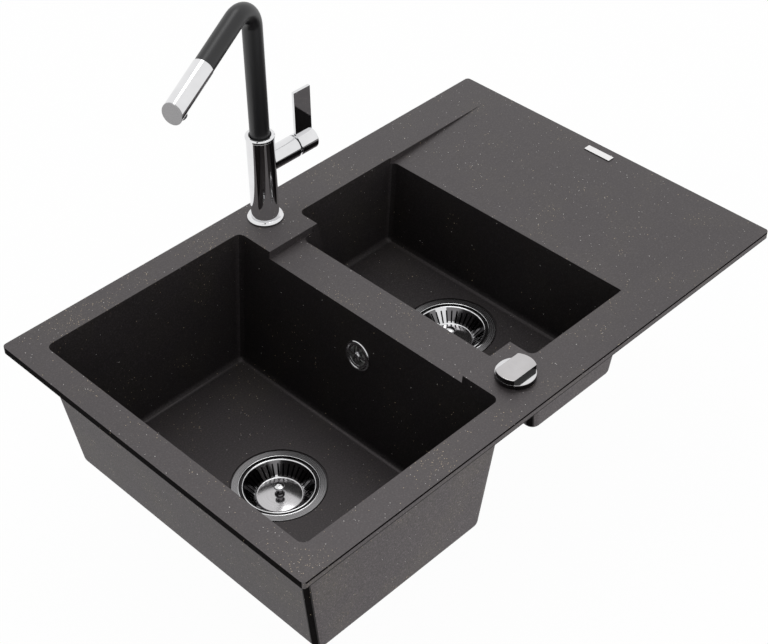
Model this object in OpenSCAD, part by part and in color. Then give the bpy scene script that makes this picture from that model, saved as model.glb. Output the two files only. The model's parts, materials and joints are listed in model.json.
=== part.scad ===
// One and a half bowl kitchen sink with a pull-out tap, a pop-up waste and an overflow.
// Millimetres. X runs along the sink towards the drainer, Y from the front to the tap side,
// and Z up. The origin is the centre of the sealing strip's underside, on the worktop.

/* [Sink] */
// Length of the rim along X
sink_l = 780; // [760:2:800]
// Width of the rim along Y
sink_w = 500; // [490:2:520]
// Height of the rim's top above the worktop
rim_t = 10; // [8:0.5:12]
// Gap between the worktop and the rim's underside, which the sealing strip fills
strip_gap = 0.5; // [0.5:0.1:1]
// Thickness of the bowls' walls and floors
wall = 8; // [7:0.5:9]
// Radius of the rim's corners in plan
rim_corner_r = 5; // [3:1:12]
// How far the divider's top lies below the rim's top
divider_drop = 9.5; // [8:0.5:12]

/* [Main bowl] */
// Left edge of the main bowl's opening
main_x0 = -356; // [-358:1:-350]
// Right edge of the main bowl's opening
main_x1 = -63.5; // [-66:0.5:-60]
// Width of the main bowl's opening along Y
main_w = 426; // [410:2:430]
// Depth of the main bowl below the rim's top
main_depth = 183; // [170:1:195]
// Distance by which each end wall leans in on the way down
main_lean_x = 24; // [18:1:26]
// Distance by which the front and back walls lean in on the way down
main_lean_y = 12; // [8:1:14]

/* [Half bowl] */
// Left edge of the half bowl's opening, at the divider
half_x0 = -12; // [-14:0.5:-10]
// Right edge of the half bowl's opening, at the drainer's lip
half_x1 = 184; // [180:1:188]
// Width of the half bowl's opening along Y
half_w = 384; // [376:2:390]
// Depth of the half bowl below the rim's top
half_depth = 122; // [115:1:130]
// Distance by which each end wall leans in on the way down
half_lean_x = 18; // [12:1:20]
// Distance by which the front and back walls lean in on the way down
half_lean_y = 8; // [5:1:10]

/* [Platforms and drainer] */
// Distance of the two platforms' edges from the middle
platform_y = 158.5; // [154:0.5:162]
// Right edge of the two platforms
platform_x1 = 15.5; // [13:0.5:18]
// Right end of the drainer's slope
drainer_x1 = 352; // [345:1:356]
// Width of the drainer's recess along Y
drainer_w = 382; // [370:2:388]
// Depth of the drainer's recess at the half bowl's lip
drainer_drop = 8; // [6:0.5:8.5]

/* [Wastes] */
// Position of the main waste along X
main_waste_x = -206; // [-210:0.5:-202]
// Position of the half bowl's waste along X
half_waste_x = 89.5; // [86:0.5:93]
// Diameter of the polished flange
flange_d = 115; // [112:0.5:116]
// Diameter of the hole in the floor
waste_hole_d = 90; // [89.5:0.5:91]
// Diameter of the outlet's screw thread, one and a half inch pipe size
outlet_d = 47.8; // [47:0.1:48.5]
// Number of slots round each basket
slot_count = 36; // [24:2:40]

/* [Tap] */
// Position of the tap along X
tap_x = -18.5; // [-20:0.5:-17]
// Position of the tap along Y
tap_y = 215.7; // [214:0.1:217]
// Diameter of the tap's body
body_d = 35; // [34:0.5:36]
// Height of the tap's body above the rim's top
body_h = 118; // [112:1:124]
// Outer diameter of the spout's tube
spout_d = 24.4; // [24:0.1:24.8]
// Height above the rim's top at which the spout's bend starts
bend_z = 269.5; // [255:0.5:280]
// Radius of the bend on the tube's centre line
bend_r = 28.5; // [26:0.5:32]
// Angle of the spout's leg below the horizontal
leg_fall = 17.4; // [12:0.1:20]
// Length of the leg's tube, from the bend to the spray head
leg_l = 71.9; // [68:0.1:76]
// Distance from the bend to the spray head's tip
head_end = 143.3; // [140:0.1:147]
// Diameter of the spray head
head_d = 25.8; // [25.4:0.1:26.4]
// Turn of the spout towards the front, counted from the left
spout_turn = 18.3; // [0:0.1:40]

/* [Lever] */
// Height of the lever's barrel above the rim's top
barrel_z = 78.5; // [76:0.5:82]
// Diameter of the lever's barrel and hub
barrel_d = 28.4; // [28:0.1:29]
// Distance from the tap's axis to the end of the barrel
barrel_end = 52.6; // [50:0.1:53]
// Distance from the tap's axis to the end of the hub
hub_end = 82.5; // [80:0.5:85]
// Height of the blade's top above the barrel's axis
blade_top = 76; // [70:1:80]
// Thickness of the blade
blade_t = 4; // [3.5:0.1:4.5]
// Greatest tilt of the lever for full flow
lever_tilt = 16; // [12:1:16]

/* [Knob] */
// Position of the waste knob along X
knob_x = -23; // [-24:0.5:-22]
// Position of the waste knob along Y
knob_y = -200.5; // [-202:0.5:-199]
// Diameter of the knob's round base
knob_d = 47; // [46:0.5:48]
// Height of the knob's base
knob_base_h = 6.5; // [6:0.5:7]
// Height of the knob's raised bar above the rim's top
knob_h = 13.5; // [12.5:0.5:15]
// Width of the knob's raised bar
knob_bar_w = 27.4; // [26:0.2:29]

/* [Hidden] */
$fn = 72;
hull_fn = 32;
eps = 0.01;
joint_gap = 0.3;
running_gap = 0.05;

// Levels of the two floors and the leans as slopes
main_floor = rim_t - main_depth;
half_floor = rim_t - half_depth;
main_slope_x = main_lean_x / main_depth;
main_slope_y = main_lean_y / main_depth;
half_slope_x = half_lean_x / half_depth;
half_slope_y = half_lean_y / half_depth;

// Radii of the bowls' corners in plan and of the edge round the floor, inside and outside
inner_corner_r = 9;
inner_edge_r = 7;
outer_corner_r = 12;
outer_edge_r = 9;

// Levels at which the bowls' walls stand on their floors, above the rounded edge
main_foot_z = main_floor + inner_edge_r;
half_foot_z = half_floor + inner_edge_r;

// Groove under the rim for the sealing strip
groove_inset = 3;
groove_w = 6;
groove_t = 1.6;

// Blank plate on the rim
plate_x = 373.3;
plate_y = 3.4;
plate_l = 41;
plate_w = 10.5;
plate_t = 1.2;

// Levels and radii of a waste, counted from the floor of its bowl
recess_r = 59;
flange_t = 1.4;
flange_ring_r = 48.2;
ledge_r = 51;
ledge_t = 4.2;
seat_z = -2.4;
seat_r = 43;
web_z = -22;
web_r = 36;
sheet = 1.2;
web_hole_r = 6;
basket_lip_r = 45;
basket_floor_z = -17;
basket_floor_r = 28.5;
basket_rise = 0.8;
slot_w = 2;
cup_top_z = -wall - 1.6;
cup_r = 46;
cup_wall = 3;
cup_lip_r = 54;
tail_top_z = -62;
tail_end_z = -92;
tail_bore_r = 19.5;
bridge_z = -50;
bridge_bore_r = 6.05;
lift_pin_r = 3;
overflow_port_z = -34;
overflow_port_end = 72;

// Overflow rose: its centre on the divider wall of the main bowl
rose_z = -54;
rose_r = 19.7;
rose_lean = atan(main_slope_x);
overflow_hole_r = 14;
pipe_r = 10;
pipe_wall = 1.6;
pipe_x = -34;
elbow_foot_z = -92;

// Tap levels in the part's frame
tap_base_t = 4;
body_z0 = rim_t + tap_base_t;
body_z1 = rim_t + body_h;
collar_t = 4.4;
barrel_h = rim_t + barrel_z;
shank_r = 16;
shank_end = -46;
spout_wall = 2;
tube_step = 0.05;
foot_z = body_z1 - 24;
bend_h = rim_t + bend_z;
bend_angle = 90 + leg_fall;
leg_x0 = bend_r - bend_r * cos(bend_angle);
leg_z0 = bend_h + bend_r * sin(bend_angle);
tip_x = leg_x0 + head_end * cos(leg_fall);
cap_t = 1.5;
hose_r = 5;
aerator_s = head_end - 12;
aerator_r = 7.5;

// Lever levels along the barrel's axis, counted from the tap's axis
barrel_bore_r = 11.6;
cartridge_x0 = 20.5;
cartridge_x1 = 41;
pivot_x = 46;
hub_x0 = 55;
hub_bore_r = 12;
hub_bore_end = 70;
stem_w = 5;
rotor_r = 8.2;

// Knob levels in the part's frame
deck_hole_r = 17.5;
spindle_r = 4;
housing_top = -14;
housing_h = 20;
housing_r = 19;
gland_bore_r = 3.1;
cable_hole_r = 1.4;
gland_x = -15.5;
grub_z = 4.85;
grub_r = 1.2;

// A ring about Z, from z0 up
module ring(r_out, r_in, z0, h) {
    translate([0, 0, z0])
        difference() {
            cylinder(r = r_out, h = h);
            translate([0, 0, -1])
                cylinder(r = r_in, h = h + 2);
        }
}

// A plate about the origin with round corners
module rounded_plate(l, w, r, t) {
    linear_extrude(t)
        union() {
            square([l - 2 * r, w], center = true);
            square([l, w - 2 * r], center = true);
            for (sx = [-1, 1], sy = [-1, 1])
                translate([sx * (l / 2 - r), sy * (w / 2 - r)])
                    circle(r = r);
        }
}

// Four thin round pads at the corners of a rectangle, one level of a bowl
module level(x0, x1, half_y, z, r) {
    for (x = [x0 + r, x1 - r], sy = [-1, 1])
        translate([x, sy * (half_y - r), z])
            cylinder(r = r, h = eps, $fn = hull_fn);
}

// A bowl's block with leaning walls and a rounded floor edge. The edges x0, x1 and half_y
// hold at the level z_ref, and the block runs from z0 up to z1. The outer block stands
// outside the inner one by grow.
module bowl_block(x0, x1, half_y, z_ref, slope_x, slope_y, z0, z1, grow) {
    corner_r = grow > 0 ? outer_corner_r : inner_corner_r;
    edge_r = grow > 0 ? outer_edge_r : inner_edge_r;
    up = z1 - z_ref;
    hull() {
        level(x0 - grow - slope_x * up, x1 + grow + slope_x * up, half_y + grow + slope_y * up,
              z1 - eps, corner_r);
        for (k = [0 : 3]) {
            z = z0 + edge_r * (1 - cos(30 * k));
            inset = edge_r * (1 - sin(30 * k));
            down = z_ref - z;
            level(x0 - grow + slope_x * down + inset, x1 + grow - slope_x * down - inset,
                  half_y + grow - slope_y * down - inset, z, corner_r - inset);
        }
    }
}

module main_block(z0, z1, grow) {
    bowl_block(main_x0, main_x1, main_w / 2, rim_t, main_slope_x, main_slope_y, z0, z1, grow);
}

// The half bowl is widest beside the drainer and narrower between the two platforms
module half_block(z0, z1, grow) {
    bowl_block(platform_x1, half_x1, half_w / 2, rim_t, half_slope_x, half_slope_y, z0, z1, grow);
    bowl_block(half_x0, half_x1, platform_y, rim_t, half_slope_x, half_slope_y, z0, z1, grow);
}

// A prism along Y, centred, from an outline in X and Z
module prism(w) {
    translate([0, w / 2, 0])
        rotate([90, 0, 0])
            linear_extrude(w)
                children();
}

// The inner faces of the half bowl's drainer wall and the outer faces of the two divider
// walls, at a level z
function lip_x(z) = half_x1 - half_slope_x * (rim_t - z);
function main_back_x(z) = main_x1 - main_slope_x * (rim_t - z) + wall;
function half_back_x(z) = half_x0 + half_slope_x * (rim_t - z) - wall;

module drainer_slab() {
    lip_z = rim_t - drainer_drop;
    prism(drainer_w)
        polygon([[lip_x(lip_z), lip_z], [drainer_x1, rim_t], [drainer_x1, rim_t - wall],
                 [lip_x(lip_z - wall), lip_z - wall]]);
}

// The space over the lowered divider
module divider_cut() {
    translate([main_x1 - 20, -platform_y, rim_t - divider_drop])
        cube([half_x0 - main_x1 + 40, 2 * platform_y, divider_drop + 5]);
}

module at_overflow() {
    x = main_x1 - main_slope_x * (rim_t - rose_z);
    translate([x, 0, rose_z])
        rotate([0, rose_lean - 90, 0])
            children();
}

module at_main_waste() {
    translate([main_waste_x, 0, main_floor])
        children();
}

module at_half_waste() {
    translate([half_waste_x, 0, half_floor])
        children();
}

module waste_recess() {
    translate([0, 0, -flange_t - 0.1])
        cylinder(r = recess_r, h = 20);
    translate([0, 0, -ledge_t])
        cylinder(r = ledge_r, h = 20);
    translate([0, 0, -wall - 10])
        cylinder(d = waste_hole_d, h = 30);
}

module groove_ring(z0, h) {
    translate([0, 0, z0])
        difference() {
            rounded_plate(sink_l - 2 * groove_inset, sink_w - 2 * groove_inset, rim_corner_r, h);
            translate([0, 0, -1])
                rounded_plate(sink_l - 2 * (groove_inset + groove_w),
                              sink_w - 2 * (groove_inset + groove_w), rim_corner_r, h + 2);
        }
}

// Sink. The moulding is drawn as its rim, divider and drainer, and as the walls and floor of
// each bowl, which all meet face to face.
module sink_rim() {
    color("#3c3a3b")
        difference() {
            translate([0, 0, strip_gap])
                rounded_plate(sink_l, sink_w, rim_corner_r, rim_t - strip_gap);
            main_block(main_floor, rim_t + 1, 0);
            half_block(half_floor, rim_t + 1, 0);
            translate([half_x1 - 10, -drainer_w / 2, strip_gap - 1])
                cube([drainer_x1 - half_x1 + 10, drainer_w, rim_t + 2]);
            divider_cut();
            groove_ring(strip_gap - 1, groove_t + 1);
            translate([tap_x, tap_y, -20])
                cylinder(r = deck_hole_r, h = 50);
            translate([knob_x, knob_y, -20])
                cylinder(r = deck_hole_r, h = 50);
        }
}

module divider() {
    top = rim_t - divider_drop;
    color("#3c3a3b")
        prism(2 * platform_y)
            polygon([[main_back_x(top), top], [half_back_x(top), top],
                     [half_back_x(top - wall), top - wall], [main_back_x(top - wall), top - wall]]);
}

module drainer() {
    color("#3c3a3b")
        drainer_slab();
}

module main_shell() {
    difference() {
        main_block(main_floor - wall, strip_gap, wall);
        main_block(main_floor, rim_t + 1, 0);
        divider_cut();
    }
}

module half_shell() {
    difference() {
        half_block(half_floor - wall, strip_gap, wall);
        half_block(half_floor, rim_t + 1, 0);
        divider_cut();
        drainer_slab();
    }
}

// The space of a bowl's floor with its rounded edge, up to the level z
module floor_space(z) {
    depth = 40;
    translate([-sink_l / 2, -sink_w / 2, z - depth])
        cube([sink_l, sink_w, depth]);
}

// The square of the main bowl's wall that holds the overflow
module overflow_space() {
    side = 56;
    translate([main_x1 - 30, -side / 2, rose_z - side / 2])
        cube([45, side, side]);
}

module main_bowl_walls() {
    color("#3c3a3b")
        difference() {
            main_shell();
            floor_space(main_foot_z);
            overflow_space();
        }
}

module main_bowl_floor() {
    color("#3c3a3b")
        difference() {
            intersection() {
                main_shell();
                floor_space(main_foot_z);
            }
            at_main_waste() waste_recess();
        }
}

module overflow_wall() {
    color("#3c3a3b")
        difference() {
            intersection() {
                main_shell();
                overflow_space();
            }
            at_overflow()
                translate([0, 0, -20])
                    cylinder(r = overflow_hole_r, h = 40);
        }
}

module half_bowl_walls() {
    color("#3c3a3b")
        difference() {
            half_shell();
            floor_space(half_foot_z);
        }
}

module half_bowl_floor() {
    color("#3c3a3b")
        difference() {
            intersection() {
                half_shell();
                floor_space(half_foot_z);
            }
            at_half_waste() waste_recess();
        }
}

module name_plate() {
    color("#d8dadc")
        translate([plate_x, plate_y, rim_t])
            rounded_plate(plate_w, plate_l, 0.8, plate_t);
}

// The strip stands proud of its groove, and the sink rests on it
module rim_seal() {
    color("#2a2a2c")
        groove_ring(0, strip_gap + groove_t);
}

// Wastes, drawn with the floor of their bowl at the level zero
module flange() {
    outer_r = flange_d / 2;
    foot_r = waste_hole_d / 2 - 0.6;
    under_z = seat_z - sheet;
    color("#d4d6d9")
        difference() {
            rotate_extrude()
                polygon([[5, web_z], [web_r, web_z], [seat_r - 1, seat_z - 1.6], [seat_r, seat_z],
                         [flange_ring_r - 0.4, seat_z], [flange_ring_r, 0], [outer_r - 0.6, 0],
                         [outer_r, -0.6], [outer_r, -flange_t], [50.6, -flange_t],
                         [50.2, under_z], [foot_r, under_z], [foot_r - 0.8, under_z - 1.4],
                         [web_r + 1.4, web_z - sheet], [5, web_z - sheet]]);
            for (a = [0 : 60 : 300])
                rotate([0, 0, a])
                    translate([16.5, 0, web_z - 5])
                        cylinder(r = web_hole_r, h = 10);
        }
}

// A thin cone with a rolled lip, slotted all round, and a floor that rises to its middle
module basket() {
    lip_z = seat_z + 0.1;
    color("#dcdee0")
        difference() {
            rotate_extrude()
                polygon([[0, basket_floor_z - 1], [basket_floor_r + 0.6, basket_floor_z - 1],
                         [seat_r - 0.4, lip_z], [basket_lip_r, lip_z], [basket_lip_r, lip_z + 0.9],
                         [basket_lip_r - 0.6, lip_z + 1.7], [basket_lip_r - 1.8, lip_z + 1.7],
                         [basket_lip_r - 2.8, lip_z + 1.1], [basket_floor_r, basket_floor_z],
                         [0, basket_floor_z + basket_rise]]);
            for (k = [0 : slot_count - 1])
                rotate([0, 0, k * 360 / slot_count])
                    translate([30.5, -slot_w / 2, basket_floor_z + 0.5])
                        cube([9.5, slot_w, 13]);
        }
}

// The finger knob's foot follows the rise of the basket's floor
module basket_knob() {
    foot_r = 5.8;
    color("#e4e6e8")
        translate([0, 0, basket_floor_z + basket_rise])
            rotate_extrude()
                polygon([[0, 0], [foot_r, -foot_r * basket_rise / basket_floor_r], [6.2, 0.8],
                         [5.6, 2.2], [4.2, 3.2], [4.2, 10.4], [6.4, 12.2], [6.6, 13.6],
                         [6, 14.8], [3, 15.6], [0, 15.8]]);
}

module basket_seal() {
    color("#1d1d1f")
        ring(28, 23.5, web_z + 0.1, basket_floor_z - 1 - web_z - 0.1);
}

// The cup under the bowl
module waste_cup() {
    tail_r = outlet_d / 2;
    inner_r = cup_r - cup_wall;
    rotate_extrude()
        polygon([[inner_r, cup_top_z], [cup_lip_r, cup_top_z], [cup_lip_r, cup_top_z - 4],
                 [cup_r, cup_top_z - 6], [cup_r, tail_top_z + 18], [tail_r + 3, tail_top_z],
                 [tail_bore_r, tail_top_z], [tail_bore_r, tail_top_z + 1],
                 [inner_r, tail_top_z + 16]]);
}

// Three ribs across the cup carry the boss of the clamp screw
module cup_bridge() {
    boss_r = 11;
    difference() {
        union() {
            intersection() {
                for (a = [90, 210, 330])
                    rotate([0, 0, a])
                        translate([0, -1.5, bridge_z + 4.2])
                            cube([cup_r, 3, 10]);
                translate([0, 0, bridge_z])
                    cylinder(r = cup_r - cup_wall - 0.05, h = 20);
            }
            translate([0, 0, bridge_z])
                cylinder(r = boss_r, h = 16);
        }
        translate([0, 0, bridge_z - 10])
            cylinder(r = bridge_bore_r, h = 40);
    }
}

module flange_seal() {
    ring(50.8, waste_hole_d / 2 + 0.2, -ledge_t, ledge_t + seat_z - sheet);
}

module cup_seal() {
    ring(cup_lip_r, cup_r + 0.4, cup_top_z, 1.6);
}

module clamp_screw() {
    translate([0, 0, web_z])
        cylinder(r = 9, h = 2.6);
    translate([0, 0, bridge_z])
        cylinder(r = 4.9, h = web_z - bridge_z + eps);
    translate([0, 0, bridge_z])
        cylinder(r = bridge_bore_r - 0.05, h = 15);
}

module waste_flanges() {
    at_main_waste() flange();
    at_half_waste() flange();
}

module main_basket() {
    at_main_waste() basket();
}

module half_basket() {
    at_half_waste() basket();
}

module main_basket_knob() {
    at_main_waste() basket_knob();
}

module half_basket_knob() {
    at_half_waste() basket_knob();
}

module main_basket_seal() {
    at_main_waste() basket_seal();
}

module half_basket_seal() {
    at_half_waste() basket_seal();
}

// The main cup also has the overflow's port, towards the drainer, and the cable's port, to the front
module waste_cups() {
    port_r = pipe_r + 2.5;
    color("#e9e9e6") {
        at_main_waste()
            difference() {
                union() {
                    waste_cup();
                    translate([cup_r - 2, 0, overflow_port_z])
                        rotate([0, 90, 0])
                            cylinder(r = port_r, h = overflow_port_end - cup_r + 2);
                    translate([0, -cup_r + 2, overflow_port_z])
                        rotate([90, 0, 0])
                            cylinder(r = 7, h = 12);
                }
                translate([cup_r - 6, 0, overflow_port_z])
                    rotate([0, 90, 0])
                        cylinder(r = pipe_r - pipe_wall, h = 60);
                translate([cup_r + 6, 0, overflow_port_z])
                    rotate([0, 90, 0])
                        cylinder(r = pipe_r + 0.1, h = 60);
                translate([0, -cup_r + 6, overflow_port_z])
                    rotate([90, 0, 0])
                        cylinder(r = 4, h = 30);
            }
        at_half_waste() waste_cup();
    }
}

module cup_bridges() {
    color("#e9e9e6") {
        at_main_waste() cup_bridge();
        at_half_waste() cup_bridge();
    }
}

// The outlets, with the outer thread for a trap
module waste_tails() {
    color("#e9e9e6")
        for (place = [[main_waste_x, 0, main_floor], [half_waste_x, 0, half_floor]])
            translate(place)
                ring(outlet_d / 2, tail_bore_r, tail_end_z, tail_top_z - tail_end_z);
}

// The rubber rings of the wastes, of the overflow and of the tap's base
module seals() {
    color("#1d1d1f") {
        at_main_waste() flange_seal();
        at_half_waste() flange_seal();
        at_main_waste() cup_seal();
        at_half_waste() cup_seal();
        overflow_seal();
        at_tap()
            ring(22, 20.1, rim_t, 0.8);
    }
}

// The main waste's clamp screw is bored for the lift pin, the other one has a slot
module clamp_screws() {
    color("#c9b46a") {
        at_main_waste()
            difference() {
                clamp_screw();
                translate([0, 0, bridge_z - 5])
                    cylinder(r = lift_pin_r + 0.1, h = 60);
            }
        at_half_waste()
            difference() {
                clamp_screw();
                translate([-10, -0.8, web_z + 1.4])
                    cube([20, 1.6, 5]);
            }
    }
}

module lift_pin() {
    color("#c4c6c8")
        at_main_waste() {
            translate([0, 0, -64])
                cylinder(r = lift_pin_r, h = 64 + basket_floor_z - 1);
            translate([0, 0, -66])
                cylinder(r = 5.2, h = 3);
        }
}

// Overflow, drawn with the bowl's wall at the level zero and the bowl above it
module overflow_rose() {
    color("#d8dadc")
        at_overflow()
            difference() {
                union() {
                    rotate_extrude()
                        polygon([[12.7, 0], [rose_r, 0], [rose_r, 0.8], [rose_r - 0.8, 1.8],
                                 [rose_r - 2.6, 1.8], [rose_r - 4.2, 0.9], [13.6, 0.9],
                                 [13.6, 0.6], [12.7, 0.6]]);
                    ring(13.6, 12.7, -7, 7.9);
                    for (a = [0, 90])
                        rotate([0, 0, a])
                            translate([-13.2, -1.8, -1])
                                cube([26.4, 3.6, 1.8]);
                    translate([0, 0, -2])
                        cylinder(r = 5.4, h = 3.4);
                }
                translate([0, 0, -5])
                    cylinder(r = 2.1, h = 10);
            }
}

module overflow_screw() {
    color("#c8cacc")
        at_overflow()
            difference() {
                union() {
                    translate([0, 0, -20])
                        cylinder(r = 2, h = 21.4);
                    translate([0, 0, 1.4])
                        cylinder(r1 = 4.6, r2 = 3.8, h = 1.6);
                }
                translate([-5, -0.5, 2])
                    cube([10, 1, 3]);
            }
}

// Behind the wall the elbow turns down into the pipe. A bar across it takes the rose's screw.
module overflow_elbow() {
    back = -wall * cos(rose_lean) - 1.6;
    bore_r = 12.5;
    color("#e4e4e1") {
        difference() {
            union() {
                at_overflow() {
                    translate([0, 0, back - 3])
                        cylinder(r = 20, h = 3);
                    translate([0, 0, back - 42])
                        cylinder(r = 14.5, h = 40);
                }
                translate([pipe_x, 0, elbow_foot_z])
                    cylinder(r = 12.8, h = rose_z - elbow_foot_z);
            }
            at_overflow()
                translate([0, 0, back - 39])
                    cylinder(r = bore_r, h = 42);
            translate([pipe_x, 0, elbow_foot_z - 1])
                cylinder(r = pipe_r - pipe_wall, h = rose_z - elbow_foot_z);
            translate([pipe_x, 0, elbow_foot_z - 1])
                cylinder(r = pipe_r + 0.1, h = 19);
        }
        at_overflow()
            difference() {
                union() {
                    translate([0, 0, back - 11])
                        cylinder(r = 4.4, h = 7);
                    translate([-bore_r - 1, -1.5, back - 11])
                        cube([2 * bore_r + 2, 3, 5]);
                }
                translate([0, 0, back - 15])
                    cylinder(r = 2.05, h = 20);
            }
    }
}

module overflow_seal() {
    at_overflow()
        ring(19.5, 14.2, -wall * cos(rose_lean) - 1.55, 1.5);
}

// One rigid pipe: down from the elbow, a bend, and along under the main bowl to the cup
module overflow_pipe() {
    turn_r = 18;
    run_z = main_floor + overflow_port_z;
    top_z = elbow_foot_z + 17;
    run_x = main_waste_x + cup_r + 8;
    color("#dededb") {
        translate([pipe_x, 0, 0])
            ring(pipe_r, pipe_r - pipe_wall, run_z + turn_r, top_z - run_z - turn_r);
        translate([pipe_x - turn_r, 0, run_z + turn_r])
            rotate([90, 0, 0])
                rotate([0, 0, -90])
                    rotate_extrude(angle = 90)
                        translate([turn_r, 0])
                            difference() {
                                circle(r = pipe_r);
                                circle(r = pipe_r - pipe_wall);
                            }
        translate([run_x, 0, run_z])
            rotate([0, 90, 0])
                ring(pipe_r, pipe_r - pipe_wall, 0, pipe_x - turn_r - run_x);
    }
}

module overflow_nuts() {
    color("#d2d2ce") {
        at_main_waste()
            translate([overflow_port_end, 0, overflow_port_z])
                rotate([0, 90, 0])
                    ring(15, pipe_r + 0.1, 0, 8);
        translate([pipe_x, 0, 0])
            ring(15, pipe_r + 0.1, elbow_foot_z - 8, 8);
    }
}

// Waste knob, drawn with its axis on Z and the rim's top at the level zero
module at_knob() {
    translate([knob_x, knob_y, rim_t])
        children();
}

module knob() {
    base_r = knob_d / 2;
    bar_r = base_r - 0.2;
    color("#dfe1e3")
        at_knob()
            difference() {
                union() {
                    rotate_extrude()
                        polygon([[0, 0.4], [base_r - 0.6, 0.4], [base_r, 1], [base_r, knob_base_h - 0.8],
                                 [base_r - 0.8, knob_base_h], [0, knob_base_h]]);
                    intersection() {
                        rotate_extrude()
                            polygon([[0, knob_base_h - 1], [bar_r, knob_base_h - 1],
                                     [bar_r, knob_h - 0.7], [bar_r - 0.7, knob_h], [0, knob_h]]);
                        translate([-base_r - 1, -knob_bar_w / 2, 0])
                            cube([2 * base_r + 2, knob_bar_w, knob_h + 1]);
                    }
                }
                translate([0, 0, -1])
                    cylinder(r = base_r - 2.5, h = 4.2);
                translate([0, 0, -1])
                    cylinder(r = spindle_r + 0.02, h = 10.5);
                translate([0, 0, grub_z])
                    rotate([-90, 0, 0])
                        cylinder(r = grub_r, h = knob_d);
            }
}

module knob_grub_screw() {
    color("#8d8f91")
        at_knob()
            translate([0, spindle_r + 0.05, grub_z])
                rotate([-90, 0, 0])
                    cylinder(r = grub_r - 0.02, h = 8);
}

module knob_bush() {
    color("#b9bbbd")
        at_knob()
            difference() {
                union() {
                    cylinder(r = 20, h = 2.4);
                    translate([0, 0, housing_top - rim_t])
                        cylinder(r = deck_hole_r - 0.5, h = rim_t - housing_top + eps);
                }
                translate([0, 0, housing_top - rim_t - 1])
                    cylinder(r = spindle_r + running_gap, h = 40);
            }
}

// The rubber washers under the deck, at the knob and at the tap
module deck_washers() {
    color("#1d1d1f") {
        translate([knob_x, knob_y, 0])
            ring(23, deck_hole_r - 0.4, -2, 2 + strip_gap);
        at_tap()
            ring(24, shank_r + 0.1, -3, 3 + strip_gap);
    }
}

module knob_nut() {
    color("#e2e2de")
        translate([knob_x, knob_y, -9])
            difference() {
                cylinder(r = 24, h = 7, $fn = 6);
                translate([0, 0, -1])
                    cylinder(r = deck_hole_r - 0.4, h = 10);
            }
}

module knob_spindle() {
    top_z = rim_t + 9;
    foot = housing_top - housing_h + 2.4;
    color("#c9b46a")
        translate([knob_x, knob_y, foot])
            cylinder(r = spindle_r, h = top_z - foot);
}

// The drum winds the cable; it is keyed on the spindle
module cable_drum() {
    color("#d8d8d2")
        translate([knob_x, knob_y, housing_top - housing_h + 3])
            rotate_extrude()
                polygon([[spindle_r + 0.02, 0], [15, 0], [15, 2.4], [12.5, 4], [12.5, 9],
                         [15, 10.6], [15, 13], [spindle_r + 0.02, 13]]);
}

// The housing hangs on the bush. The cable leaves it through the gland, between the two bowls.
module cable_housing() {
    color("#dcdcd8")
        translate([knob_x, knob_y, housing_top - housing_h])
            difference() {
                union() {
                    cylinder(r = housing_r, h = housing_h);
                    translate([gland_x, 0, housing_h / 2])
                        rotate([-90, 0, 0])
                            cylinder(r = 5, h = housing_r + 4);
                }
                translate([0, 0, 2])
                    cylinder(r = housing_r - 2.4, h = housing_h - 4);
                translate([0, 0, housing_h - 4])
                    cylinder(r = spindle_r + 0.6, h = 10);
                translate([gland_x, 0, housing_h / 2])
                    rotate([-90, 0, 0])
                        cylinder(r = cable_hole_r, h = housing_r + 10);
            }
}

// A gland along +Z for the sheath of the cable
module cable_gland(collar_r, neck_r, l) {
    difference() {
        union() {
            cylinder(r = collar_r, h = 4);
            cylinder(r = neck_r, h = l);
        }
        translate([0, 0, -1])
            cylinder(r = gland_bore_r, h = l + 2);
    }
}

module cable_glands() {
    color("#d0d0cc") {
        translate([knob_x + gland_x, knob_y + housing_r + 4, housing_top - housing_h / 2])
            rotate([-90, 0, 0])
                cable_gland(5.4, 4.4, 10);
        at_main_waste()
            translate([0, -cup_r - 10, overflow_port_z])
                rotate([90, 0, 0])
                    cable_gland(6.4, 4.6, 14);
    }
}

// Tap
module at_tap() {
    translate([tap_x, tap_y, 0])
        children();
}

module tap_base_ring() {
    color("#e6e8ea")
        at_tap()
            rotate_extrude()
                polygon([[shank_r + 0.1, rim_t], [20, rim_t], [20, rim_t + 0.8], [22.2, rim_t + 0.8],
                         [22.8, rim_t + 1.2], [22.8, rim_t + 1.8], [21.6, rim_t + 3], [19.4, body_z0],
                         [shank_r + 0.1, body_z0]]);
}

// The body and the lever's barrel are one casting, bored for the hose, the shank,
// the spout's bush and the cartridge
module tap_body() {
    body_r = body_d / 2;
    color("#d9dbdd")
        at_tap()
            difference() {
                union() {
                    translate([0, 0, body_z0])
                        cylinder(r = body_r, h = body_z1 - body_z0);
                    translate([0, 0, barrel_h])
                        rotate([0, 90, 0])
                            cylinder(d = barrel_d, h = barrel_end);
                }
                translate([0, 0, body_z0 - 1])
                    cylinder(r = shank_r + 0.02, h = 11);
                translate([0, 0, body_z0])
                    cylinder(r = 11, h = 28);
                translate([0, 0, body_z0])
                    cylinder(r = 7, h = body_z1 - body_z0 + 1);
                translate([0, 0, foot_z - 4])
                    cylinder(r = 14.9, h = 60);
                translate([cartridge_x0 - 0.1, 0, barrel_h])
                    rotate([0, 90, 0])
                        cylinder(r = barrel_bore_r, h = 60);
            }
}

module tap_collar() {
    color("#e6e8ea")
        at_tap()
            rotate_extrude()
                polygon([[spout_d / 2 + 0.3, body_z1], [17.8, body_z1], [18.3, body_z1 + 0.5],
                         [18.3, body_z1 + 3], [16.6, body_z1 + collar_t],
                         [14, body_z1 + collar_t], [spout_d / 2 + 0.3, body_z1 + 2.6]]);
}

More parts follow.
